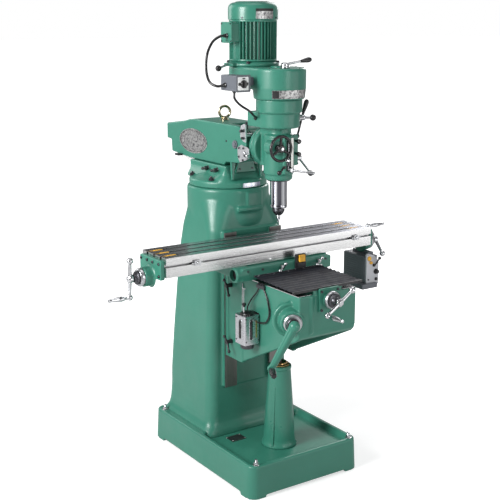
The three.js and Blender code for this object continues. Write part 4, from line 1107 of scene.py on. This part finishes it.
front_cap.prism([(84, 1500), (92, 1497), (98, 1598), (70, 1598)], "Y", 276, 289.5)
part("ram_front_cap", front_cap.box(-96, 96, 276, 320, 1588, 1600), GREEN_SMALL, "ram",
     bevel=1.6)
part("ram_front_cap_screws", Shape().screws([(-38, 288, 1548), (38, 288, 1548)], FRONT, 5, 4),
     DARK_STEEL, "ram")
eye = Shape().lathe([(0, 1780), (23, 1780), (23, 1785), (13, 1790), (10, 1798), (0, 1800)],
                    (0, 489, 0))
part("lifting_eye", eye.torus((0, 489, 1824), (0.31, 0.95, 0), 29.5, 7.2, 64, 18), GOLD, "ram",
     "eye_bolt")
part("nod_bolt", Shape().lathe([
    (0, 0), (12, 0), (13, 1), (13, 6), (20, 6), (21, 7.5), (21, 12.5), (16, 13), (16, 213),
    (21, 213.5), (21, 219), (20, 220), (13, 220), (13, 225), (12, 226), (0, 226)],
    (-113, NOD_Y, NOD_Z), RIGHT), GREY, "ram", "nod_pivot_bolt")


def oval(half_length, half_height, count=72):
    return [(646 + half_length * cos(2 * pi * i / count),
             1661 + half_height * sin(2 * pi * i / count)) for i in range(count)]


# blank oval badge on both sides of the ram
for side, out in (("left", -1), ("right", 1)):
    face = out * 100
    badge = Shape().prism(oval(142, 66), "X", *sorted((face - out * 4, face + out * 2.6)))
    part(f"ram_badge_{side}", badge, ETCHED, "ram", bevel=1.4)
    inner = oval(133, 57)
    line = Shape().tube([(face + out * 2.8, y, z) for y, z in inner[::3] + inner[:1]], 1.1, 8, 3)
    part(f"ram_badge_line_{side}", line, INK, "ram")
screws = Shape().screws([(-100, 318, 1694)], LEFT, 5, 3).screws([(100, 318, 1694)], RIGHT, 5, 3)
part("ram_side_screws", screws, DARK_STEEL, "ram")
part("ram_rear_cover", Shape().prism(round_rect(-80, 80, 1658, 1728, 6, 4), "Y", 929, 934),
     GREEN_SMALL, "ram", bevel=1.2)
part("ram_stop_bracket", Shape().box(-128, -98, 760, 800, 1570, 1580), BLACK_ENAMEL, "ram",
     bevel=0.8)

# ------------------------------------------------------------------ knuckle
knuckle = Shape().rod((-59.2, NOD_Y, NOD_Z), (59.2, NOD_Y, NOD_Z), 92.5, sides=72)
knuckle.box(-59.2, 59.2, 118, NOD_Y, NOD_Z - 70, NOD_Z + 70)
knuckle.lathe([(0, 0), (88, 0), (94, 3), (98, 12), (98, 27), (96, 29.4), (0, 29.4)],
              (0, 125, NOD_Z), FRONT, 96)
part("knuckle_body", knuckle, GREEN, "knuckle", "ram_knuckle", voxel=3.0,
     smooth=6)
# quadrant plate, worm and tilt drive on the left; outlines are y and z from the nod axis
QUADRANT_OUTLINE = [(130.5, 20), (152, 24), (176, 42), (180, 80), (168, 102), (146, 112),
                    (130.5, 108)]
WORM_PLATE_OUTLINE = [(104, -8), (122, -2), (170, 6), (206, -10), (202, -62), (184, -84),
                      (130, -68), (106, -52)]
quadrant = Shape().prism([(y, NOD_Z + z) for y, z in QUADRANT_OUTLINE], "X", -110, -101.5)
quadrant.rod((-104, 141, NOD_Z + 54), (-60, 141, NOD_Z + 54), 10, sides=32)
part("nod_quadrant", quadrant, MACHINED, "knuckle", bevel=1.2)
marks = Shape()
for i in range(17):
    y = 142 - 30 * cos(radians(100 + 5.2 * i))
    z = NOD_Z + 58 + i * 2
    marks.box(-110.4, -109.8, y - 0.5, y + 0.5, z - 0.4, z + 0.5)
part("nod_quadrant_marks", marks, INK, "knuckle")
worm = Shape().rod((-96, 141, NOD_Z + 84), (-96, 141, NOD_Z + 108), 9, sides=32, chamfer=1)
worm.lathe([(0, 0), (6, 0), (6, 12), (5, 13), (0, 13)], (-96, 141, NOD_Z + 108), sides=6)
worm.rod((-126, 142, NOD_Z + 78), (-108, 142, NOD_Z + 78), 8, sides=32, chamfer=1)
worm.ball((-130, 142, NOD_Z + 78), 8)
worm.rod((-110, 142, NOD_Z + 42), (-126, 142, NOD_Z + 42), 7, sides=24, chamfer=1)
part("nod_worm_housing", worm, DARK_STEEL, "knuckle")
part("tilt_worm_plate", Shape().prism([(y, NOD_Z + z) for y, z in WORM_PLATE_OUTLINE],
                                      "X", -108, -101),
     MACHINED, "knuckle", bevel=1.2)
bolts = Shape().screws([(-109, y, NOD_Z + z)
                        for y, z in ((188, -12), (190, -56), (156, -70), (150, -10))],
                       LEFT, 5.5, 3.5)
bolts.lathe([(0, 0), (11, 0), (11, 4), (7, 6), (7, 12), (0, 12)], (-108, 126, NOD_Z - 42),
            LEFT, 32)
part("tilt_worm_bolts", bolts, DARK_STEEL, "knuckle")
shaft = Shape().rod((-108, 138, NOD_Z - 30), (-116, 104, NOD_Z - 44), 8.5, 7.5, sides=32,
                    chamfer=1)
shaft.lathe([(0, 0), (11, 0), (11, 10), (9, 12), (0, 12)], (-116, 104, NOD_Z - 44),
            (-0.1, -1, -0.1), 32)
part("tilt_worm_shaft", shaft, CHROME, "knuckle")
nuts = Shape()
for angle in (45, 135, 225, 315):
    x, z = polar(82, angle, NOD_Z)
    nuts.nut((x, 125, z), BACK, 9, 9)
part("knuckle_clamp_nuts", nuts, DARK_STEEL, "knuckle")

# ------------------------------------------------------------------ head
HEAD_BOTTOM = 1530
WHEEL_X, WHEEL_Z = -62, 1697    # axis of the fine feed handwheel
head = Shape().lathe([
    (0, HEAD_BOTTOM), (60, HEAD_BOTTOM), (66, 1534), (68, 1540), (68, 1556), (72, 1560),
    (75, 1566), (75, 1748), (70, 1754), (61, 1758), (60, 1764), (60, 1786), (66, 1790),
    (0, 1792)], sides=96)
head.lathe([(0, 1787), (96, 1787), (101, 1792), (103, 1862), (0, 1864)], sides=96)
head.lathe([(0, 1860), (108, 1860), (113, 1865), (113, 1924.5), (0, 1924.5)], sides=96)
head.box(-100, 100, 0, 128, 1790, 1862)
head.box(-60, 60, 0, 78, 1600, 1795)
head.lathe([(0, 0), (94, 0), (98, 4), (98, 28.6), (0, 28.6)], (0, 66, NOD_Z), BACK, 96)
head.rod((WHEEL_X, -76, WHEEL_Z), (WHEEL_X, -8, WHEEL_Z), 34.5, 36, sides=56)
head.prism(round_rect(34, 78, -58, 34, 8, 4), "Z", 1602, 1752)
head.prism(round_rect(-26, 26, -82, -50, 8, 4), "Z", 1566, 1748)
part("head_body", head, GREEN, "head", "head_casting", voxel=2.4, smooth=6, cut=[
    Shape().rod((0, 0, HEAD_BOTTOM - 6), (0, 0, 1700), 43.6, sides=64),
    Shape().box(-10, 10, -90, -68, 1582, 1734),
    Shape().rod((WHEEL_X, -84, WHEEL_Z), (WHEEL_X, -30, WHEEL_Z), 13, sides=32)])
part("quill_bore_ring", Shape().lathe([
    (43.5, HEAD_BOTTOM - 4), (56, HEAD_BOTTOM - 4), (58, HEAD_BOTTOM - 2),
    (58, HEAD_BOTTOM + 4), (43.5, HEAD_BOTTOM + 4)], sides=72), DARK_STEEL, "head")
# depth screw and stop in the slot
part("depth_stop_screw", Shape().thread((0, -78, 1584), UP, 6.2, 148, 3.0, 20), CHROME, "head")
nuts = Shape().pipe((0, -78, 1606), (0, -78, 1622), 12, 6.4, 36)
part("depth_stop_nuts", nuts.pipe((0, -78, 1624), (0, -78, 1632), 12, 6.4, 36), DARK_STEEL,
     "head")
part("depth_scale", Shape().box(12, 26.5, -86, -81.6, 1575, 1742), BRUSHED, "head",
     bevel=0.5)
marks = Shape()
for i in range(33):
    z = 1582 + i * 4.8
    marks.box(26 - (9 if i % 5 == 0 else 5), 26, -86.3, -85.8, z - 0.35, z + 0.35)
part("depth_scale_marks", marks, INK, "head")
# feed box on the right: round cover, screws and knobs
part("feed_dial_disc", Shape().lathe([(0, 0), (30, 0), (30, 5), (28, 7), (0, 7)],
                                     (77.5, -2, 1685), RIGHT, 56),
     BLACK, "head")
part("feed_dial_centre", Shape().lathe([(0, 0), (14, 0), (13, 5), (11, 6), (0, 6)],
                                       (84, -2, 1685), RIGHT, 40),
     CHROME, "head")
part("feed_box_screws", Shape().screws(
    [(77.6, y, z) for y, z in ((-50, 1610), (26, 1610), (-50, 1744), (26, 1744), (26, 1660))],
    RIGHT, 4.5, 4), DARK_STEEL, "head")
knobs = Shape()
for z in (1660, 1722):
    knobs.rod((60, -56, z), (60, -74, z), 6, sides=24, chamfer=0.8)
    knobs.lathe([(0, 0), (8, 0), (11, 4), (11, 16), (8, 20), (0, 20)], (60, -74, z), FRONT, 32)
part("feed_select_knobs", knobs, BLACK, "head")
# nuts and scale on the flange where the head meets the knuckle
nuts = Shape()
for angle in (60, 120, 240, 300):
    x, z = polar(84, angle, NOD_Z)
    nuts.nut((x, 66, z), FRONT, 8, 8)
part("tilt_clamp_nuts", nuts, DARK_STEEL, "head")
marks = Shape()
for i in range(31):
    x, z = polar(1, 45 + 3 * i)
    length = 12 if i % 5 == 0 else 7
    marks.tick(Vector((98.0 * x, 94.4 - length, NOD_Z + 98.0 * z)), Vector((x, 0, z)),
               Vector((-z, 0, x)), Vector((0, length, 0)), depth=(-0.6, 0.35), half_width=0.45)
part("tilt_scale_marks", marks, WHITE, "head")

# ------------------------------------------------------------------ belt housing
DRUM_RADIUS, DRUM_BOTTOM, DRUM_TOP, MOTOR_Y = 130, 1925, 2074, 225


def belt_outline(front_radius, rear_radius, steps=64):
    """Two arcs, round the spindle and round the motor, with straight sides between."""
    slant = asin((front_radius - rear_radius) / MOTOR_Y)
    points = []
    for i in range(steps + 1):
        angle = pi - slant + (pi + 2 * slant) * i / steps
        points.append((front_radius * cos(angle), front_radius * sin(angle)))
    for i in range(steps + 1):
        angle = slant + (pi - 2 * slant) * i / steps
        points.append((rear_radius * cos(angle), MOTOR_Y + rear_radius * sin(angle)))
    return points


def shrink(points, factor):
    return [(x * factor, (y - 100) * factor + 100) for x, y in points]


outline = belt_outline(DRUM_RADIUS, 120)
drum = Shape().loft([(1972, shrink(outline, 0.985)), (1976, outline), (DRUM_TOP - 10, outline),
                     (DRUM_TOP - 4, shrink(outline, 0.988)), (DRUM_TOP, shrink(outline, 0.955))])
drum.lathe([(0, DRUM_BOTTOM), (119, DRUM_BOTTOM), (124, DRUM_BOTTOM + 4), (DRUM_RADIUS, 1980),
            (DRUM_RADIUS, 2000), (0, 2000)], sides=96)
part("belt_drum", drum, GREEN, "head", "belt_housing", voxel=3.2, smooth=6,
     cut=[Shape().rod((0, 0, 2060), (0, 0, 2090), 18, sides=48)])
part("drum_plate", Shape().arc_plate((1933, 121.9, 126.8), (1973, 125.7, 130.6), (-141, -52),
                                     30), ETCHED, "head")
plate_ends = Shape()
for arc in ((-140.4, -126), (-56, -52.6)):
    plate_ends.arc_plate((1935, 126.1, 127.3), (1971, 129.5, 130.7), arc, 6)
part("drum_plate_ends", plate_ends, INK, "head")
part("drawbar_cover_ring", Shape().lathe([(18, 0), (40, 0), (42, 2), (42, 6), (38, 8), (18, 8)],
                                         (0, 0, DRUM_TOP - 1), sides=64),
     GREEN_SMALL, "head")
part("drum_lid_screws", Shape().screws([(*polar(116, angle), DRUM_TOP - 2.5)
                                        for angle in (-150, -110, -70, -30, 10, 170)], UP, 5, 4),
     DARK_STEEL, "head")

# ------------------------------------------------------------------ motor
MOTOR_AT = (0, MOTOR_Y, 0)
mount = Shape().lathe([
    (0, DRUM_TOP + 0.3), (128, DRUM_TOP + 0.3), (130, DRUM_TOP + 3), (130, 2088), (126, 2091),
    (118, 2094), (113, 2099), (0, 2099.7)] if False else [
    (0, DRUM_BOTTOM + 149.3), (128, DRUM_BOTTOM + 149.3)], MOTOR_AT, sides=96) if False else (
    Shape().lathe([(0, DRUM_TOP + 0.3), (128, DRUM_TOP + 0.3), (130, DRUM_TOP + 3), (130, 2088),
                   (126, 2091), (118, 2094), (113, 2099), (0, 2099.7)], MOTOR_AT, sides=96))
mount.box(-148, 60, MOTOR_Y - 40, MOTOR_Y + 40, DRUM_TOP + 0.3, 2090)
part("motor_mount", mount, GREEN, "head", "motor_flange", voxel=2.6, smooth=5)
bolts = Shape()
for x, y in ((-88, -88), (88, -88), (-88, 88), (88, 88)):
    bolts.nut((x, MOTOR_Y + y, 2089), UP, 9, 9)
part("motor_mount_bolts", bolts, DARK_STEEL, "head")
FIN_PLACES = 40
# radius and sideways offset round a fin's section
FIN_SECTION = ((102, -3.1), (117.5, -1.9), (118.5, 0), (117.5, 1.9), (102, 3.1))
fins = Shape().rod((0, MOTOR_Y, 2100), (0, MOTOR_Y, 2297), 104, sides=120)
for i in range(FIN_PLACES):
    angle = 2 * pi * (i + 0.5) / FIN_PLACES
    if abs(angle - pi) < 0.36:      # no fins behind the terminal box
        continue
    outward = Vector((cos(angle), sin(angle), 0))
    sideways = Vector((-sin(angle), cos(angle), 0))
    fins.stack([Vector((0, MOTOR_Y, z)) + outward * radius + sideways * offset
                for z in (2103, 2294) for radius, offset in FIN_SECTION], len(FIN_SECTION))
for bottom, top in ((2100, 2108), (2288, 2297)):
    fins.rod((0, MOTOR_Y, bottom), (0, MOTOR_Y, top), 119, sides=96, chamfer=1.5)
part("motor_fins", fins, GREEN_SMALL, "head", "motor_body")
part("motor_cowl", Shape().lathe([
    (0, 2297.3), (122, 2297.3), (123.5, 2299), (124, 2344), (123.4, 2355), (120, 2365),
    (113, 2373), (102, 2378.5), (88, 2380.5), (86, 2383), (84, 2384), (0, 2384)], MOTOR_AT,
    sides=96), GREEN_SMALL, "head", "motor_fan_cover")
screws = Shape()
for angle in (-60, 30, 120, 210):
    screws.screws([(*polar(124, angle, MOTOR_Y), 2307)], (*polar(1, angle), 0), 4.5, 3)
part("motor_cowl_screws", screws, DARK_STEEL, "head")
guard = Shape()
for radius in (20, 34, 48, 62, 76):
    guard.torus((0, MOTOR_Y, 2384.0), UP, radius, 1.3, 64, 8)
for angle in range(0, 360, 45):
    guard.rod((*polar(14, angle, MOTOR_Y), 2383.8), (*polar(80, angle, MOTOR_Y), 2383.8), 1.4,
              sides=8)
part("fan_guard", guard, BLACK_ENAMEL, "head")
# blank rating plate on the cowl's front, with a dark band along its top
part("motor_plate", Shape().arc_plate((2302, 121, 125.2), (2350, 121, 125.2), (-118, -73), 16,
                                      MOTOR_Y), ETCHED, "head")
part("motor_plate_band", Shape().arc_plate((2338, 121, 125.7), (2350.6, 121, 125.7),
                                           (-118, -73), 16, MOTOR_Y),
     INK, "head")

# ------------------------------------------------------------------ terminal box and cables
part("terminal_box_body", Shape().prism(round_rect(180, 268, 2190, 2284, 6, 4), "X", -154, -106),
     GREEN_SMALL, "head", "motor_terminal_box", bevel=1.6)
part("terminal_box_lid", Shape().prism(round_rect(177, 271, 2187, 2287, 7, 4), "X", -160, -152),
     GREEN_SMALL, "head", bevel=1.6)
part("terminal_box_screws", Shape().screws(
    [(-160, y, z) for y in (185, 263) for z in (2195, 2279)], LEFT, 4, 2.5),
    DARK_STEEL, "head")
glands = Shape().lathe([(0, 0), (13, 0), (13, 6), (10, 8), (10, 18), (7, 22), (0, 22)],
                       (-160, 214, 2222), LEFT, 6)
glands.lathe([(0, 0), (12, 0), (12, 6), (9, 8), (9, 14), (0, 16)], (-247, 96, 1994), LEFT, 24)
glands.lathe([(0, 0), (11, 0), (11, 6), (8, 8), (8, 12), (0, 14)], (-214, 70, 1969), DOWN, 24)
part("cable_glands", glands, BLACK, "head")
cables = Shape().tube([
    (-178, 214, 2222), (-204, 212, 2218), (-246, 206, 2196), (-280, 198, 2150),
    (-296, 190, 2096), (-304, 172, 2044), (-306, 140, 2006), (-288, 108, 1990),
    (-262, 96, 1993), (-250, 96, 1994)], 6.4, 16)
cables.tube([(-214, 70, 1960), (-214, 66, 1930), (-196, 44, 1900), (-160, 20, 1872),
             (-128, 30, 1848), (-104, 48, 1836), (-98, 56, 1832)], 5.6, 16)
part("motor_cables", cables, BLACK, "head")
part("head_cable_entry", Shape().lathe([(0, 0), (10, 0), (10, 6), (7, 9), (0, 10)],
                                       (-99, 55, 1832), LEFT, 24),
     BLACK, "head")

# ------------------------------------------------------------------ switch box
part("switch_case", Shape().prism(round_rect(-247, -172, 1968, 2042, 5, 4), "Y", 0, 137), GREY,
     "head", "switch_box", bevel=1.6)
part("switch_lid", Shape().prism(round_rect(-250, -169, 1965, 2045, 6, 4), "Y", -3, 3), GREY,
     "head", bevel=1.0)
part("switch_arm", Shape().box(-173, -118, 32, 108, 1992, 2032), GREY, "head",
     bevel=1.2)
part("switch_face", Shape().prism(round_rect(-242, -182, 1974, 2036, 3, 3), "Y", -4.6, -2.8),
     WHITE, "head", bevel=0.5)
knob = Shape().lathe([(0, 0), (19, 0), (19, 2.6), (16, 4), (15, 6), (0, 6)],
                     (-209, -5.0, 2003), FRONT)
part("switch_handle", knob.prism(round_rect(-214, -204, 1985, 2021, 3, 3), "Y", -20, -9), BLACK,
     "switch_knob", "switch_knob")
marks = Shape()
for x0, x1, z0, z1 in ((-240, -228, 1996, 2010), (-190, -184, 1996, 2010),
                       (-216, -202, 2026, 2032)):
    marks.box(x0, x1, -5.4, -4.4, z0, z1)
part("switch_face_marks", marks, INK, "head")

# ------------------------------------------------------------------ pulleys and belt
GROOVE = [(60, 1986), (60, 1991), (50, 1996), (50, 2008), (60, 2013), (60, 2018)]
part("spindle_pulley_wheel", Shape().lathe(
    [(17, 1840), (28, 1840), (28, 1986), *GROOVE, (17, 2018)], sides=72),
    DARK_STEEL, "spindle_pulley", "spindle_pulley")
part("motor_pulley_wheel", Shape().lathe(
    [(0, 1986), *GROOVE, (12, 2018), (12, 2231), (0, 2231)], MOTOR_AT, sides=72),
    DARK_STEEL, "motor_shaft", "motor_shaft")
outer, inner = belt_outline(58, 57.9, 32), belt_outline(51.2, 51.1, 32)
count = len(outer)
faces = []
for i in range(count):
    j = (i + 1) % count
    faces += [[i, j, 2 * count + j, 2 * count + i],
              [count + j, count + i, 3 * count + i, 3 * count + j],
              [i, count + i, count + j, j],
              [2 * count + i, 2 * count + j, 3 * count + j, 3 * count + i]]
part("vee_belt", Shape().add([(x, y, z) for z in (1997, 2007) for x, y in outer + inner], faces),
     RUBBER, "head", "drive_belt")

# ------------------------------------------------------------------ head controls
wheel = Shape().torus((WHEEL_X, -104, WHEEL_Z), BACK, 59, 7.4, 96, 20)
for angle in (90, 210, 330):
    wheel.rod((WHEEL_X, -101, WHEEL_Z), (WHEEL_X + 58 * cos(radians(angle)), -104,
                                         WHEEL_Z + 58 * sin(radians(angle))), 8.5, 6, sides=24)
wheel.lathe([(0, 0), (17, 0), (20, 4), (20, 20), (17, 25), (0, 26)], (WHEEL_X, -88, WHEEL_Z),
            FRONT)
wheel.rod((WHEEL_X, -92, WHEEL_Z), (WHEEL_X, -22, WHEEL_Z), 12, sides=32)
part("fine_feed_wheel", wheel, BLACK, "fine_feed_handwheel", "fine_feed_handwheel",
     voxel=1.5, smooth=4)
x, z = polar(59, -70)
part("fine_feed_knob", Shape().lathe([
    (0, 0), (5, 0), (5, 4), (8, 8), (9.5, 18), (8, 30), (4, 36), (0, 37)],
    (WHEEL_X + x, -110, WHEEL_Z + z), FRONT, 32), CHROME, "fine_feed_handwheel")
part("fine_feed_nut", Shape().lathe([(0, 0), (9, 0), (9, 3), (7, 5), (0, 5)],
                                    (WHEEL_X, -114, WHEEL_Z), FRONT, 6),
     CHROME, "fine_feed_handwheel")

FEED_BOX_X = 78.3       # foot of the controls on the feed box's right face
lever = Shape().lathe([(0, 0), (18, 0), (19, 2), (19, 12), (15, 16), (15, 52), (12, 55),
                       (0, 56)], (FEED_BOX_X, 0, 1628.5), RIGHT)
lever.rod((123, 0, 1628.5), (134, -84, 1560), 7, 5.2, sides=28)
part("quill_lever_arm", lever, CHROME, "quill_feed_lever", "quill_feed_lever",
     voxel=1.3, smooth=4)
part("quill_lever_ball", Shape().ball((134, -84, 1560), 14.5, 36, 24), BLACK,
     "quill_feed_lever")
part("feed_rate_grip", Shape().lathe([
    (0, 0), (8, 0), (8, 3), (11, 5), (11, 18), (9, 21), (7, 24), (0, 25)],
    (FEED_BOX_X, -38, 1712), RIGHT, 36), BLACK, "feed_rate_knob", "feed_rate_knob")
lever = Shape().lathe([(0, 0), (14, 0), (14, 12), (11, 15), (0, 16)], (12, -82.4, 1586),
                      FRONT, 40)
lever.rod((12, -92, 1586), (78, -122, 1574), 6.5, 5, sides=24)
lever.rod((78, -122, 1574), (108, -136, 1569), 5.2, 9, sides=28)
part("quill_lock_arm", lever.ball((109, -137, 1568.5), 9), CHROME, "quill_lock_lever",
     "quill_lock_lever", voxel=1.3, smooth=4)
lever = Shape().rod((-30, -82.4, 1602), (-30, -93, 1602), 8, sides=28, chamfer=1)
lever.arms((-30, -88, 1603), 5.6, 4.5, ((-66, -97, 1580), 11.5))
part("feed_trip_arm", lever, BLACK, "feed_trip_lever", "feed_trip_lever",
     voxel=1.2, smooth=4)
lever = Shape().rod((FEED_BOX_X, -30, 1741), (97, -30, 1741), 11, 10, sides=32, chamfer=1)
lever.rod((90, -30, 1741), (122, -32, 1850), 5.4, 5, sides=24)
lever.lathe([(0, -3), (6.5, -3), (7, 2), (9, 18), (12, 42), (12.6, 56), (10, 66), (5, 71),
             (0, 72)], (122, -32, 1850), (18, -4, 58), 36)
part("brake_arm", lever, BLACK_ENAMEL, "spindle_brake_lever", "spindle_brake_lever",
     voxel=1.3, smooth=4)

range_axis = Vector((0.75, -0.66, 0)).normalized()
range_centre = Vector((0, 0, 1836))
part("range_lever_stem", Shape().lathe([
    (0, 0), (14, 0), (14, 18), (12, 23), (7, 26), (6, 54), (0, 54)],
    range_axis * 103.9 + range_centre, range_axis, 36),
    CHROME, "speed_range_lever", "speed_range_lever")
part("range_lever_ball", Shape().ball(range_axis * 165 + range_centre, 15.5, 36, 24), BLACK,
     "speed_range_lever")
lever = Shape().lathe([(0, 0), (24, 0), (24, 6), (20, 9), (20, 20), (16, 25), (0, 27)],
                      (-10, -60, DRUM_TOP + 0.3))
lever.rod((-10, -60, 2092), (74, -74, 2104.6), 6.6, 5.4, sides=24)
part("speed_lever_arm", lever, CHROME, "speed_change_lever", "speed_change_lever",
     voxel=1.3, smooth=4)
part("speed_lever_grip", Shape().lathe([
    (0, 0), (6, 0), (7, 3), (9.5, 18), (12.6, 40), (12.6, 50), (8, 58), (0, 60)],
    (70.4, -74.07, 2104.06), (80, -14, 12), 36), BLACK, "speed_change_lever")
part("belt_tension_rod", Shape().rod((-149.5, MOTOR_Y, 2083), (-206, MOTOR_Y - 8, 2067.5), 5.6,
                                     5, sides=24), CHROME, "belt_tension_lever")
part("belt_tension_ball", Shape().ball((-210, MOTOR_Y - 9, 2066.5), 15, 36, 24), BLACK,
     "belt_tension_lever", "belt_tension_lever")

# ------------------------------------------------------------------ quill and spindle
part("quill_sleeve", Shape().lathe([
    (26, 1389), (38, 1389), (41, 1390), (43, 1394), (43, 1404), (42.4, 1405), (42.4, 1407),
    (43, 1408), (43, 1700), (26, 1700)], sides=96), QUILL_STEEL, "quill", "quill")
part("spindle_nose", Shape().lathe([
    (0, 1352), (15, 1352), (17, 1353), (25, 1362), (30, 1373), (30.5, 1375), (30.5, 1380),
    (30, 1381), (30, 1388.6), (25.5, 1388.7), (25.5, 1702), (16.4, 1706), (16.4, 1935),
    (0, 1935)], sides=72), DARK_STEEL, "spindle", "spindle",
    cut=[Shape().box(-3, 3, y, y + 13, 1366, 1376) for y in (-40, 27)])
FLUTES, FLUTE_STEPS, FLUTE_SIDES = 4, 24, 48
points = []
for k in range(FLUTE_STEPS + 1):
    twist = 0.9 * k / FLUTE_STEPS
    for i in range(FLUTE_SIDES):
        angle = 2 * pi * i / FLUTE_SIDES
        phase = (angle * FLUTES / (2 * pi)) % 1.0
        radius = 8.0 - 2.6 * (1 - abs(2 * phase - 1)) ** 0.6
        points.append((radius * cos(angle + twist), radius * sin(angle + twist),
                       1318 + 14 * k / FLUTE_STEPS))
cutter = Shape().add(points, skin(FLUTE_STEPS + 1, FLUTE_SIDES)
                     + caps(FLUTE_STEPS + 1, FLUTE_SIDES))
cutter.lathe([(0, 1331), (8, 1331), (10, 1334), (10, 1352), (0, 1352)], sides=40)
part("cutter", cutter, CHROME, "spindle", "end_mill")

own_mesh(cover)

# ------------------------------------------------------------------ floor
mesh = bpy.data.meshes.new("floor")
mesh.from_pydata([(-80, -80, 0), (80, -80, 0), (80, 80, 0), (-80, 80, 0)], [], [[0, 1, 2, 3]])
floor = bpy.data.objects.new("floor", mesh)
bpy.context.scene.collection.objects.link(floor)
pale = Shader("floor_pale")
# to the camera the floor glows up to white with distance, so it meets the backdrop unseen
distance = pale.node("ShaderNodeVectorMath", operation="LENGTH")
pale.feed(distance.inputs[0], pale.coords)
camera_ray = pale.node("ShaderNodeLightPath").outputs["Is Camera Ray"]
glow = pale.multiply(pale.remap(distance.outputs["Value"], over=(1.0, 3.2), to=(0.62, 1.1)),
                     pale.remap(camera_ray, over=(0, 1), to=(0.25, 1)))
pale.set(Base_Color=pale.mix(pale.noise(scale=0.6, detail=2), (0.52, 0.52, 0.52),
                             (0.56, 0.56, 0.56)),
         Roughness=0.9, Specular_IOR_Level=0.1, Emission_Color=(1, 1, 1), Emission_Strength=glow)
floor.data.materials.append(pale.material)

# ------------------------------------------------------------------ world
# grey stripes across x for reflections: position, brightness
STRIPES = ((0.14, 0.06), (0.28, 0.42), (0.38, 0.05), (0.46, 0.50), (0.54, 0.03), (0.62, 0.60),
           (0.72, 0.05), (0.84, 0.60), (0.93, 0.12))
world = bpy.data.worlds.new("studio")
bpy.context.scene.world = world
world.use_nodes = True
sky = Nodes(world.node_tree)
direction = sky.split(sky.node("ShaderNodeTexCoord").outputs["Generated"])
ramp = sky.node("ShaderNodeValToRGB")
stops = ramp.color_ramp.elements
stops[0].position, stops[0].color = 0.0, (0.42, 0.42, 0.42, 1)
stops[1].position, stops[1].color = 1.0, (0.55, 0.55, 0.55, 1)
for position, grey in STRIPES:
    stops.new(position).color = (grey, grey, grey * 1.02, 1)
sky.feed(ramp.inputs["Fac"], sky.remap(direction["X"], over=(-1, 1)))
background = sky.tree.nodes["Background"]
# the camera itself sees plain white
sky.feed(background.inputs["Color"],
         sky.mix(sky.node("ShaderNodeLightPath").outputs["Is Camera Ray"],
                 ramp.outputs["Color"], (1.0, 1.0, 1.0)))
background.inputs["Strength"].default_value = 1.0


# ------------------------------------------------------------------ lights and camera
def aim(obj, direction):
    obj.rotation_euler = direction.to_track_quat("-Z", "Y").to_euler()


# name, place and target in metres, width, height (None for a square), watts
LIGHTS = (("key", (-4.4, -0.3, 3.1), (0, 0.2, 1.5), 1.8, 2.4, 300),
          ("front", (0.2, -5.6, 2.4), (0, 0, 0.9), 1.8, 2.6, 56),
          ("card", (3.0, -4.4, 1.0), (0, 0, 1.2), 3.2, 1.6, 34),
          ("rim", (3.8, 2.6, 3.6), (0, 0, 1.3), 1.8, 2.6, 70),
          ("back", (-1.5, 5.0, 3.4), (0, 0, 1.2), 2.2, 2.8, 60),
          ("top", (0, 0, 6.2), (0, 0, 0), 3.0, None, 45))
for name, place, target, width, height, watts in LIGHTS:
    light = bpy.data.lights.new(name, "AREA")
    light.energy, light.size = watts, width
    if height:
        light.shape, light.size_y = "RECTANGLE", height
    lamp = bpy.data.objects.new(name, light)
    lamp.location = place
    aim(lamp, Vector(target) - Vector(place))
    bpy.context.scene.collection.objects.link(lamp)

AZIMUTH, ELEVATION = radians(34.18), radians(13.31)
CAMERA_DISTANCE = 4.93265       # metres from the target
lens = bpy.data.cameras.new("camera")
lens.lens, lens.sensor_width, lens.sensor_fit = 72.17, 36.0, "HORIZONTAL"
lens.clip_end = 100
camera = bpy.data.objects.new("camera", lens)
bpy.context.scene.collection.objects.link(camera)
view = Vector((sin(AZIMUTH) * cos(ELEVATION), cos(AZIMUTH) * cos(ELEVATION), -sin(ELEVATION)))
camera.location = to_frame((-170.77, 0, 1194.13)) - view * CAMERA_DISTANCE
aim(camera, view)
bpy.context.scene.camera = camera
bpy.context.scene.view_settings.view_transform = "Standard"
